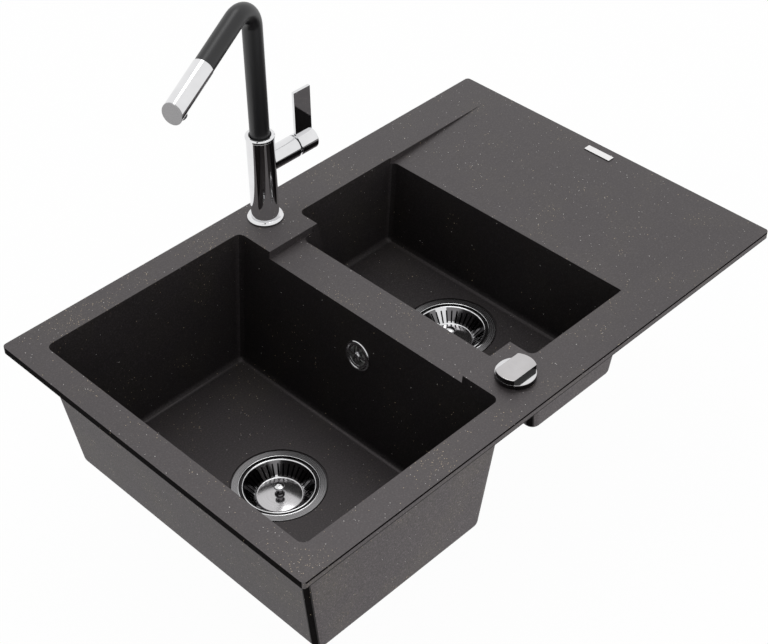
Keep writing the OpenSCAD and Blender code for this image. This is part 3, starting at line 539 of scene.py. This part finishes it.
def paint(ob, looks, pick):
    """Gives the faces of a piece further materials.

    pick(r, z, normal) names one for a face, or None for the piece's own.
    """
    first = len(ob.data.materials)
    for look in looks:
        ob.data.materials.append(MAT[look])
    for p in ob.data.polygons:
        c = p.center / MM
        look = pick(math.hypot(c.x, c.y), c.z, p.normal)
        if look:
            p.material_index = first + looks.index(look)


def moved(ob, mat):
    """Moves a piece's vertices by a matrix in millimetres. Its object stays at the origin."""
    m = mat.copy()
    m.translation = m.translation * MM
    ob.data.transform(m)
    return ob


def finish_piece(ob, body, slot, nodes, look=None, angle=30.0, weighted=True):
    """Gives a piece its material, from look or else from its slot, its shading and body, and hides
    the CAD nodes it stands for.
    """
    ob.data.materials.clear()
    ob.data.materials.append(MAT[look or slot])
    shade(ob, angle, weighted)
    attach(ob, body)
    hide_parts(*nodes)
    return ob


def finish_node(ob, body, node, **looks):
    """Finishes a piece that stands for one CAD node, with the material of that node's slot."""
    return finish_piece(ob, body, SLOT_OF[node], (node,), **looks)


# Frames of the part in millimetres
def shift(x, y, z):
    return Matrix.Translation((x, y, z))


def turn(degrees, axis):
    return Matrix.Rotation(math.radians(degrees), 4, axis)


# The spout and its spray head: sizes, and where the leg behind the bend starts
SPOUT_R, SPOUT_WALL, BEND_R, BEND_H, FOOT_Z = 12.2, 2.0, 28.5, 279.5, 101.0
LEG_L, HEAD_END, HEAD_R, HEAD_GAP, CAP_T = 71.9, 143.3, 12.9, 0.3, 1.5
BEND_A = math.radians(107.4)
SPOUT_YAW = 198.3
LEG_X0 = BEND_R - BEND_R * math.cos(BEND_A)
LEG_Z0 = BEND_H + BEND_R * math.sin(BEND_A)
TIP_X = LEG_X0 + HEAD_END * math.sin(BEND_A)

M_TAP = shift(TAP[0], TAP[1], 0.0)
M_SPOUT = M_TAP @ turn(SPOUT_YAW, "Z")
M_LEG = M_SPOUT @ shift(LEG_X0, 0.0, LEG_Z0) @ Matrix.Rotation(BEND_A, 4, "Y")
M_BARREL = M_TAP @ shift(0.0, 0.0, BARREL_Z) @ turn(90, "Y")
M_ROSE = (shift(MAIN["x1"] - MAIN["sx"] * (RIM_T - ROSE_Z), 0.0, ROSE_Z)
          @ Matrix.Rotation(math.atan(MAIN["sx"]) - math.radians(90), 4, "Y"))


# Sink: one moulding with finely rounded bowls and eased edges
def bowl_block(name, b, z0, z1, grow):
    """A bowl's hollow from z0 to z1, or with grow its outside, rounded at the foot."""
    corner, edge = (12.0, 9.0) if grow else (9.0, 7.0)
    rings = []
    for k in range(10):
        a = math.radians(10.0 * k)
        z = z0 + edge * (1 - math.cos(a))
        inset = edge * (1 - math.sin(a))
        down = RIM_T - z
        rings.append(rounded_ring(b["x0"] - grow + b["sx"] * down + inset,
                                  b["x1"] + grow - b["sx"] * down - inset,
                                  b["hy"] + grow - b["sy"] * down - inset, corner - inset, z))
    up = z1 - RIM_T
    rings.append(rounded_ring(b["x0"] - grow - b["sx"] * up, b["x1"] + grow + b["sx"] * up,
                              b["hy"] + grow + b["sy"] * up, corner, z1))
    return loft(name, rings)


BOWLS = (MAIN, HALF_A, HALF_B)


def in_bowl(p):
    """Whether a point in millimetres lies in one of the bowls or on its inside."""
    margin, under = 3.0, 6.5
    down = RIM_T - p.z
    return any(b["x0"] + b["sx"] * down - margin < p.x < b["x1"] - b["sx"] * down + margin
               and abs(p.y) < b["hy"] - b["sy"] * down + margin and p.z > b["floor"] - under
               for b in BOWLS)


# The sink's bevel: its width, the least heights of an edge's lower and upper end, and the
# stretch that holds the divider's edges
EASE = 1.5
EASE_LOW, EASE_HIGH = -9.5, 0.4
DIVIDER_X0, DIVIDER_X1 = -80.0, 5.0


def eased_edge(e):
    """Whether the sink's bevel takes an edge: the divider's, and the rim's except its underside."""
    near = 0.02
    pts = [v.co / MM for v in e.verts]
    if all(abs(p.z - DIVIDER_TOP) < near and abs(p.y) < PLATFORM_Y - 0.1
           and DIVIDER_X0 < p.x < DIVIDER_X1 for p in pts):
        return True
    if min(p.z for p in pts) < EASE_LOW or max(p.z for p in pts) < EASE_HIGH:
        return False
    if any((p.xy - Vector(at)).length < HOLE_R + 0.5 for p in pts for at in (TAP, KNOB)):
        return False
    flat = [p for p in pts if abs(p.z - STRIP_GAP) < near or abs(p.z - GROOVE_TOP) < near]
    return len(flat) < 2


# Where the granite's painted shade changes: heights on the rim's long sides, and directions in
# degrees of the painted dark band and the painted dim band on the bowls' outer corner
SIDE_FOOT, SIDE_HEAD = 1.7, 7.2
CORNER_PAINTED_DARK, CORNER_PAINTED_DIM = (188, 224), (181, 231)
LONG_SIDE_Y = RIM_W / 2 - 0.3
FLOOR_Z = -60.0


def cut_long_sides(bm):
    """Cuts the flat long sides of the rim where their painted shade changes."""
    for z in (SIDE_FOOT, SIDE_HEAD):
        faces = [f for f in bm.faces if abs(f.calc_center_median().y) > LONG_SIDE_Y * MM]
        edges = {e for f in faces for e in f.edges}
        verts = {v for f in faces for v in f.verts}
        geom = faces + sorted(edges, key=lambda e: e.index) + sorted(verts, key=lambda v: v.index)
        bmesh.ops.bisect_plane(bm, geom=geom, dist=1e-7,
                               plane_co=(0, 0, z * MM), plane_no=(0, 0, 1))


def sink_look(c, n):
    """The painted light and shade of the granite on a face with its middle at c and the normal n.

    It stands for how much of the studio's light reaches the face, painted as lit and shaded copies
    of the granite.
    """
    upright, inside = abs(n.z) < 0.5, in_bowl(c)

    # The rim's ends and its eased top edges: painted dark shade
    end_side = abs(c.x) > RIM_L / 2 - 0.6 and upright
    by_edge = abs(c.y) > RIM_W / 2 - EASE + 0.1 or c.x > RIM_L / 2 - EASE + 0.1
    if c.z > 0.4 and (end_side or by_edge and 0.1 < n.z < 0.98):
        return "granite_edge"

    # The underside and the bowls' outsides: painted light, less on faces towards -X, with a painted
    # dark reflection and a dim band of painted shade round the outer corner
    if c.z < GROOVE_TOP + 0.1 and not inside and n.z < 0.3 and abs(c.y) < LONG_SIDE_Y:
        around = math.degrees(math.atan2(n.y, n.x)) % 360
        if upright and CORNER_PAINTED_DARK[0] < around < CORNER_PAINTED_DARK[1]:
            return "granite_edge"
        if upright and CORNER_PAINTED_DIM[0] < around < CORNER_PAINTED_DIM[1]:
            return "granite_deep"
        return "granite_left" if n.x < -0.9 else "granite_back"

    # The rim's long sides: painted light between two heights, painted dark shade above and painted
    # shade below
    if abs(c.y) > LONG_SIDE_Y:
        if c.z > SIDE_HEAD:
            return "granite_edge"
        return "granite_deep" if c.z < SIDE_FOOT else "granite_back"

    # The floors and the walls inside the bowls: painted light on the main bowl's floor, painted
    # shade on the half bowl's floor and the walls, darkest on walls that face -X
    if inside and c.z < FLOOR_Z and n.z > 0.9:
        return "granite_floor" if c.x < MAIN["x1"] else "granite_bowl"
    if inside and c.z < RIM_T - EASE - 0.1 and abs(n.z) < 0.9:
        return "granite_deep" if n.x < -0.6 else "granite_bowl"
    return "granite"


def build_sink():
    sink = loft("sink_shell", [rounded_ring(-RIM_L / 2, RIM_L / 2, RIM_W / 2, RIM_R, z, 8)
                               for z in (STRIP_GAP, RIM_T)])

    def lip(z):
        """The x of the half bowl's right wall at a height."""
        return HALF_A["x1"] - HALF_A["sx"] * (RIM_T - z)

    # The drainer falls from DRAIN_X1 to the lip, and the cut runs on a little past the lip
    past = 6
    lip_z = RIM_T - DRAIN_DROP
    slope_x = lip(lip_z) - past
    slope_z = lip_z - past * DRAIN_DROP / (DRAIN_X1 - lip(lip_z))
    slab = prism_y("slab", [(lip(lip_z), lip_z - WALL), (DRAIN_X1, RIM_T - WALL), (DRAIN_X1, 5.0),
                            (lip(5.0), 5.0)], DRAIN_W / 2)
    bridge = prism_y("bridge", [(MAIN["x1"] - 2, DIVIDER_TOP - WALL),
                                (HALF_B["x0"] + 2, DIVIDER_TOP - WALL),
                                (HALF_B["x0"] + 2, 5.0), (MAIN["x1"] - 2, 5.0)], PLATFORM_Y)
    slope = prism_y("slope", [(slope_x, slope_z), (DRAIN_X1, RIM_T + 0.01), (DRAIN_X1, 15.0),
                              (slope_x, 15.0)], DRAIN_W / 2)
    gap = box("gap", (MAIN["x1"] - 20, -PLATFORM_Y, DIVIDER_TOP),
              (HALF_B["x0"] + 20, PLATFORM_Y, 15.0))
    groove = closed_tube("groove", [
        rounded_ring(-RIM_L / 2 + d, RIM_L / 2 - d, RIM_W / 2 - d, RIM_R, z, 6)
        for d, z in ((GROOVE_OUT, -2.0), (GROOVE_OUT, GROOVE_TOP),
                     (GROOVE_IN, GROOVE_TOP), (GROOVE_IN, -2.0))])
    added = [bowl_block("outer", b, b["floor"] - WALL, 5.0, WALL) for b in BOWLS]
    cut = [bowl_block("inner", b, b["floor"], 11.0, 0.0) for b in BOWLS]
    cut += [slope, gap, groove]
    cut += [cylinder("recess", x, 0, floor + z0, floor + 18, r)
            for x, floor in WASTES for r, z0 in WASTE_RECESS]
    cut.append(moved(cylinder("overflow", 0, 0, -20, 20, ROSE_HOLE_R, 64), M_ROSE))
    cut += [cylinder("hole", x, y, -20, 30, HOLE_R, 64) for x, y in (TAP, KNOB)]
    apply_booleans(sink, [(ob, "UNION") for ob in added + [slab, bridge]]
                   + [(ob, "DIFFERENCE") for ob in cut])
    bevel_edges(sink, EASE, 3, 33, eased_edge)
    edit_mesh(sink, cut_long_sides)
    finish_piece(sink, "root", "granite",
                 ("sink_rim", "divider", "drainer", "main_bowl_walls", "main_bowl_floor",
                  "overflow_wall", "half_bowl_walls", "half_bowl_floor"), angle=38)
    # Lit and shaded copies of the granite, face by face: painted light and painted shade
    looks = ("granite", "granite_edge", "granite_deep", "granite_bowl", "granite_floor",
             "granite_left", "granite_back")
    for look in looks[1:]:
        sink.data.materials.append(MAT[look])
    for p in sink.data.polygons:
        p.material_index = looks.index(sink_look(p.center / MM, p.normal))


# Wastes: the flange, the slotted basket and its finger knob, as outlines of (r, z)
FLANGE = [(5, -22), (36, -22), (42, -4), (43, -2.4), (47.6, -2.4), (47.9, -0.4), (47.9, 0.05),
          (48.3, 0.25), (49.0, 0.2), (49.3, 0.0), (56.9, 0.0), (57.5, -0.6), (57.5, -1.4),
          (50.6, -1.4), (50.2, -3.6), (44.4, -3.6), (43.6, -5), (37.4, -23.2), (5, -23.2)]
BASKET = [(0, -18), (29.1, -18), (42.4, -2.5), (44.6, -2.4), (45.0, -2.0), (45.05, -1.3),
          (44.6, -0.65), (43.8, -0.45), (43.0, -0.6), (42.3, -1.1), (30.6, -14.36), (28.8, -16.4),
          (28.2, -16.9), (27.0, -17.0), (15.5, -15.65), (0, -15.5)]
FINGER_KNOB = [(0, -15.5), (5.8, -15.55), (6.2, -15.0), (5.6, -14.0), (4.2, -13.0), (4.0, -10),
               (4.2, -5.8), (6.4, -4.0), (6.6, -2.6), (6.0, -1.4), (3.0, -0.6), (0, -0.4)]


def build_wastes():
    """Both wastes. Their cones get a painted highlight round one direction, lit_at, in degrees."""
    for place, (x, floor), lit_at in zip(("main", "half"), WASTES, (80.0, 60.0)):
        at = shift(x, 0.0, floor)
        flange = lathe(place + "_flange", eased(FLANGE, 0.25, 2), 144)
        holes = [moved(cylinder("web_hole", 16.5, 0, -27, -17, 6.0, 40), turn(60 * k, "Z"))
                 for k in range(6)]
        apply_booleans(flange, [(h, "DIFFERENCE") for h in holes])
        # The flange's recess and underside get painted shade, and its bead a painted highlight
        finish_piece(flange, "root", "polished_steel", ("waste_flanges",), "deep_steel")
        paint(flange, ("flange_steel", "bright_steel"),
              lambda r, z, n: None if r <= 47.8 or z <= -0.7
              else "flange_steel" if r > 49.4 else "bright_steel")
        moved(flange, at)

        basket = lathe(place + "_strainer", eased(BASKET, 0.3, 2), 144)
        slots = [moved(box("slot", (29.3, -1.0, -16.6), (40.0, 1.0, -3.5)), turn(10 * k, "Z"))
                 for k in range(36)]
        apply_booleans(basket, [(joined("slots", *slots), "DIFFERENCE")])
        finish_piece(basket, place + "_strainer", "polished_steel", (place + "_basket",),
                     "shaded_steel")

        # Painted highlights on the basket's lip, on the bend at its foot and on a few lands round
        # lit_at; the rest of its wall keeps the painted shade of its own look
        def basket_look(r, z, n):
            if r > 42.2 or 27.9 < r < 30.5:
                return "bright_steel"
            if r < 28:
                return "disc_steel"
            off = abs(math.degrees(math.atan2(-n.y, -n.x)) - lit_at)
            return "bright_steel" if n.z > 0.3 and off < 11.0 else None

        paint(basket, ("bright_steel", "disc_steel"), basket_look)
        moved(basket, at)

        # The finger knob is painted light, with painted shade on its lower part
        knob = lathe(place + "_finger_knob", eased(FINGER_KNOB, 0.5, 3), 64)
        finish_piece(knob, place + "_strainer", "polished_steel", (place + "_basket_knob",),
                     "bright_steel", 40)
        paint(knob, ("shaded_steel",), lambda r, z, n: "shaded_steel" if z < -4.6 else None)
        moved(knob, at)


def build_tails():
    tails = []
    for x, floor in WASTES:
        tail = threaded_ring("tail", r=23.9, bore=19.5, z0=-92.0, z1=-62.0, pitch=2.309, depth=1.2,
                             foot=-68.0)
        tails.append(moved(tail, shift(x, 0, floor)))
    finish_node(joined("threaded_tails", *tails), "root", "waste_tails", angle=50, weighted=False)


def build_overflow():
    ring = lathe("rose_ring", eased([(12.7, -7), (13.6, -7), (13.6, 0), (19.7, 0), (19.7, 0.8),
                                     (18.9, 1.8), (17.1, 1.8), (15.5, 0.9), (12.7, 0.9)], 0.35), 96)
    bars = []
    for a in (0, 90):
        bar = box("bar", (-13.2, -1.8, -1.0), (13.2, 1.8, 0.8))
        bevel_edges(bar, 0.35, 2)
        bars.append(moved(bar, turn(a, "Z")))
    boss = lathe("boss", eased([(2.1, -2), (5.4, -2), (5.4, 1.4), (2.1, 1.4)], 0.35), 48)
    rose = joined("overflow_ring", ring, *bars, boss)
    finish_node(moved(rose, M_ROSE), "root", "overflow_rose")
    screw = lathe("rose_screw", eased([(0, -20), (2, -20), (2, 1.4), (4.6, 1.4), (4.4, 2.2),
                                       (3.7, 2.9), (0, 3.0)], 0.3), 48)
    apply_booleans(screw, [(box("slot", (-5, -0.5, 2.0), (5, 0.5, 5.0)), "DIFFERENCE")])
    finish_node(moved(screw, M_ROSE), "root", "overflow_screw")


def build_plate():
    top, corner = RIM_T + PLATE_T, 0.8
    plate = loft("blank_plate", [
        rounded_ring(PLATE_X - PLATE_HX, PLATE_X + PLATE_HX, PLATE_HY, corner, z, 4)
        for z in (RIM_T, top)])
    moved(plate, shift(0, PLATE_Y, 0))
    bevel_edges(plate, 0.3, 3, keep=lambda e: min(v.co.z for v in e.verts) > (top - 0.1) * MM)
    finish_node(plate, "root", "name_plate", look="plate_steel")
    # Painted shade on the plate's sides and eased edges
    paint(plate, ("dark_gap",), lambda r, z, n: "dark_gap" if n.z < 0.95 else None)


# Tap
def tube_rings(stations, n=72):
    """Rings round a path in the plane y = 0. A station is (x, z, lean about Y, radius)."""
    rings = []
    for x, z, lean, r in stations:
        c, s = math.cos(lean), math.sin(lean)
        rings.append([(x + r * math.cos(t) * c, r * math.sin(t), z - r * math.cos(t) * s)
                      for t in (2 * math.pi * i / n for i in range(n))])
    return rings


def build_spout():
    path = [(0.0, FOOT_Z + t, 0.0) for t in (0.0, 60.0, 120.0)]
    for k in range(33):
        a = BEND_A * k / 32
        path.append((BEND_R - BEND_R * math.cos(a), BEND_H + BEND_R * math.sin(a), a))
    for t in (24.0, 48.0, LEG_L):
        path.append((LEG_X0 + t * math.sin(BEND_A), LEG_Z0 + t * math.cos(BEND_A), BEND_A))
    chamfer = 0.5
    outer = [(x, z, a, SPOUT_R) for x, z, a in path]
    x, z, a = path[-1]
    outer[-1] = (x - chamfer * math.sin(a), z - chamfer * math.cos(a), a, SPOUT_R)
    outer.append((x, z, a, SPOUT_R - chamfer))
    inner = [(x, z, a, SPOUT_R - SPOUT_WALL) for x, z, a in reversed(path)]
    tube = closed_tube("spout_sleeve", tube_rings(outer + inner))
    finish_piece(moved(tube, M_SPOUT), "spout", "black_coat", ("spout_tube",), angle=40,
                 weighted=False)

    hose_r, bore, rib, low, high = 5.0, 3.4, 0.35, 3.0, 56.9
    wave = [(hose_r - rib * abs(math.cos(math.pi * k / 2)), low + 0.6 * k) for k in range(90)]
    hose = lathe("ribbed_hose", [(bore, low)] + wave + [(bore, high)], 48)
    finish_node(moved(hose, M_LEG), "spray", "spray_hose")


def build_spray_head():
    """The head's shell runs to an upright cut, which a thin cap closes."""
    n, inner_r = 96, 11.2
    ca, sa = math.cos(BEND_A), math.sin(BEND_A)

    def ring(r, share, cut_x, start):
        """A ring at a share of the way from start, along the leg, to the upright cut at cut_x."""
        out = []
        for i in range(n):
            t = 2 * math.pi * i / n
            end = (cut_x - LEG_X0 - r * math.cos(t) * ca) / sa
            out.append((r * math.cos(t), r * math.sin(t), start + (end - start) * share))
        return out

    cut = TIP_X - CAP_T
    s0 = LEG_L + HEAD_GAP
    s1 = s0 + 0.6
    rings = [circle_ring(r, s, n)
             for r, s in ((inner_r, s0 + 0.02), (12.3, s0), (12.75, s0 + 0.15), (HEAD_R, s1))]
    rings += [ring(HEAD_R, share, cut, s1) for share in (0.25, 0.5, 0.75, 1.0)]
    rings += [ring(inner_r, share, cut, s1) for share in (1.0, 0.5)]
    shell = closed_tube("spray_shell", rings)
    hole = moved(cylinder("hole", 0.0, 0.0, 6.0, 30.0, 7.55, 64),
                 shift(0.0, 0.0, HEAD_END - 12) @ turn(90, "Y"))
    apply_booleans(shell, [(hole, "DIFFERENCE")])
    finish_piece(moved(shell, M_LEG), "spray", "chrome", ("spray_head",))

    rings = [ring(r, 1.0, x, 0.0)
             for r, x in ((HEAD_R, cut), (HEAD_R, TIP_X - 0.35), (HEAD_R - 0.1, TIP_X - 0.12),
                          (HEAD_R - 0.45, TIP_X), (HEAD_R - 1.0, TIP_X - 0.02))]
    cap = loft("spray_cap", rings)
    finish_piece(moved(cap, M_LEG), "spray", "satin_metal", ("spray_end_cap",), angle=40)


def build_tap_body():
    across = shift(0, 0, BARREL_Z) @ turn(90, "Y")
    body = lathe("tap_column", eased([(0, 14), (17.5, 14), (17.5, 128), (0, 128)], 0.5), 128)
    barrel = moved(lathe("arm", eased([(0, 0), (BARREL_R, 0), (BARREL_R, BARREL_L),
                                       (0, BARREL_L)], 0.4), 128), across)
    bores = [cylinder("bore", 0, 0, z0, z1, r, 64)
             for z0, z1, r in ((10, 24, 16.02), (20, 42, 11.0), (40, 99, 7.0), (97, 140, 14.9))]
    side = moved(cylinder("bore", 0, 0, 20.4, 80, 11.6, 64), across)
    apply_booleans(body, [(barrel, "UNION")] + [(b, "DIFFERENCE") for b in bores + [side]])
    finish_piece(moved(body, M_TAP), "root", "chrome", ("tap_body",), angle=34)

    base = lathe("base_trim", eased([(16.1, 10), (20, 10), (20, 10.8), (22.2, 10.8), (22.8, 11.2),
                                     (22.8, 11.8), (21.6, 13), (19.4, 14), (16.1, 14)], 0.4), 96)
    finish_node(moved(base, M_TAP), "root", "tap_base_ring", angle=40)
    collar = lathe("collar_trim", eased([(12.5, 128), (17.8, 128), (18.3, 128.5), (18.3, 131),
                                         (16.6, 132.4), (14, 132.4), (12.5, 130.6)], 0.4), 96)
    finish_node(moved(collar, M_TAP), "root", "tap_collar", angle=40)
    dome = lathe("barrel_trim", eased([(8.5, 47), (11.4, 47), (11.4, BARREL_L), (10.4, 53.8),
                                       (8.5, 54.2)], 0.4), 96)
    finish_node(moved(dome, M_BARREL), "root", "trim_dome", angle=40)
    shank = threaded_ring("threaded_shank", r=16.0, bore=11.0, z0=-46.0, z1=24.0, pitch=1.5,
                          depth=0.75, foot=4.0)
    finish_node(moved(shank, M_TAP), "root", "tap_shank", angle=50, weighted=False)


def build_lever():
    hub = lathe("lever_barrel", [(0, 70), (12, 70), (12, 55.25), (12.25, 55), (13.9, 55),
                                 (BARREL_R, 55.3), (BARREL_R, 80.9), (14.08, 81.6), (13.7, 82.15),
                                 (13.1, 82.45), (12.4, 82.5), (0, 82.5)])
    # The hub's underside clears the barrel when the lever leans back by its full angle
    lean, pivot, clear = 16, 46.0, 0.3
    reach = (BARREL_L + clear - pivot) / math.cos(math.radians(lean))
    cutter = moved(box("cutter", (0, -30, -30), (60, 30, 0)),
                   shift(0, 0, pivot + reach) @ turn(-lean, "Y"))
    socket = box("socket", (-2.55, -2.55, 54), (2.55, 2.55, 76))
    screw_hole = moved(cylinder("screw_hole", 0, 0, 0.0, 30.0, 2.0, 32),
                       shift(0, 0, 73.0) @ turn(90, "Y"))
    apply_booleans(hub, [(ob, "DIFFERENCE") for ob in (cutter, socket, screw_hole)])
    finish_piece(moved(hub, M_BARREL), "lever", "chrome", ("lever_hub",))

    blade = box("lever_plate", (55.4, -2.0, 10.0), (82.1, 2.0, 76.0))
    bevel_edges(blade, 0.45, 3)
    bite = moved(cylinder("bite", 0, 0, 40.0, 100.0, BARREL_R, 192), turn(90, "Y"))
    apply_booleans(blade, [(bite, "DIFFERENCE")])
    finish_piece(moved(blade, M_TAP @ shift(0, 0, BARREL_Z)), "lever", "chrome", ("lever_blade",))


# Knob: a round base with a raised bar
def build_knob():
    bore, top = 4.02, 9.5
    base = lathe("knob_base", [(bore, top), (bore, 3.2), (21.0, 3.2), (21.0, 0.4), (22.9, 0.4),
                               (23.35, 0.65), (23.5, 1.1), (23.5, 5.7), (23.35, 6.2), (22.9, 6.5),
                               (0, 6.5), (0, top)], 128)
    bar = lathe("bar", [(0, 5.6), (23.3, 5.6), (23.3, 13.5), (0, 13.5)], 128)
    apply_booleans(bar, [(box("box", (-30, -13.7, 0), (30, 13.7, 30)), "INTERSECT")])
    bevel_edges(bar, 0.6, 3, keep=lambda e: max(v.co.z for v in e.verts) > 0.007)
    socket = cylinder("socket", 0, 0, 0.0, top, bore, 48)
    grub = moved(cylinder("grub", 0, 0, 0.0, 30.0, 1.2, 24),
                 shift(0, 0, 4.85) @ turn(-90, "X"))
    apply_booleans(base, [(bar, "UNION"), (socket, "DIFFERENCE"), (grub, "DIFFERENCE")])
    finish_piece(base, "knob", "chrome", ("knob",), "knob_steel")

    # Painted shade on the bar's step faces and round the base's side, and a painted highlight on
    # the ledge before the bar
    def knob_look(r, z, n):
        upright = abs(n.z) < 0.5
        if upright and 6.6 < z < 12.9 and abs(n.y) > 0.9 and r < 23:
            return "dark_gap"
        if upright and r > 22.0:
            return "deep_steel"
        return "bright_steel" if 6.0 < z < 7.0 and n.z > 0.9 else None

    paint(base, ("dark_gap", "deep_steel", "bright_steel"), knob_look)
    moved(base, shift(KNOB[0], KNOB[1], RIM_T))


# Looks of the CAD nodes, seen where no piece stands for one
for node_name, node_ob in frame["nodes"].items():
    node_ob.data.materials.clear()
    node_ob.data.materials.append(MAT[SLOT_OF[node_name]])
    shade(node_ob, 28)

build_sink()
build_wastes()
build_tails()
build_overflow()
build_plate()
build_spout()
build_spray_head()
build_tap_body()
build_lever()
build_knob()


# Stage: floor, world and light
def seen_directly(nt, *more):
    """1 where the eye or a reflection sees the surface, and 0 where it only gives light."""
    path = nt.nodes.new("ShaderNodeLightPath")
    seen = path.outputs["Is Camera Ray"]
    for ray in ("Is Glossy Ray",) + more:
        seen = math_node(nt, "MAXIMUM", seen, path.outputs[ray])
    return seen


def build_floor():
    z, half = cad_box[0][2] - 0.002, 12.0
    me = bpy.data.meshes.new("floor")
    me.from_pydata([(-half, -half, z), (half, -half, z), (half, half, z), (-half, half, z)], [],
                   [(0, 1, 2, 3)])
    floor = bpy.data.objects.new("floor", me)
    bpy.context.scene.collection.objects.link(floor)
    mat = bpy.data.materials.new("floor")
    mat.use_nodes = True
    nt = mat.node_tree
    nt.nodes.clear()
    out = nt.nodes.new("ShaderNodeOutputMaterial")
    matt = nt.nodes.new("ShaderNodeBsdfDiffuse")
    matt.inputs["Color"].default_value = (0.88, 0.88, 0.88, 1.0)
    glow = nt.nodes.new("ShaderNodeEmission")
    glow.inputs["Color"].default_value = (1.0, 1.0, 1.0, 1.0)
    glow.inputs["Strength"].default_value = 1.0
    both = nt.nodes.new("ShaderNodeMixShader")
    nt.links.new(math_node(nt, "MULTIPLY", seen_directly(nt), 0.97), both.inputs["Fac"])
    nt.links.new(matt.outputs[0], both.inputs[1])
    nt.links.new(glow.outputs[0], both.inputs[2])
    nt.links.new(both.outputs[0], out.inputs["Surface"])
    me.materials.append(mat)


def build_light():
    world = bpy.data.worlds.new("world")
    bpy.context.scene.world = world
    world.use_nodes = True
    nt = world.node_tree
    strength = nt.nodes.new("ShaderNodeMapRange")
    strength.inputs["To Min"].default_value = 0.85
    strength.inputs["To Max"].default_value = 1.0
    nt.links.new(seen_directly(nt, "Is Transmission Ray"), strength.inputs["Value"])
    background = nt.nodes["Background"]
    background.inputs["Color"].default_value = (1.0, 1.0, 1.0, 1.0)
    nt.links.new(strength.outputs[0], background.inputs["Strength"])

    data = bpy.data.lights.new("top_light", "AREA")
    data.shape = "DISK"
    data.size = 1.0
    data.energy = 7.0
    light = bpy.data.objects.new("top_light", data)
    light.location = (0.60, 0.60, 2.3)
    light.rotation_euler = light.location.to_track_quat("Z", "Y").to_euler()
    bpy.context.scene.collection.objects.link(light)


build_floor()
build_light()
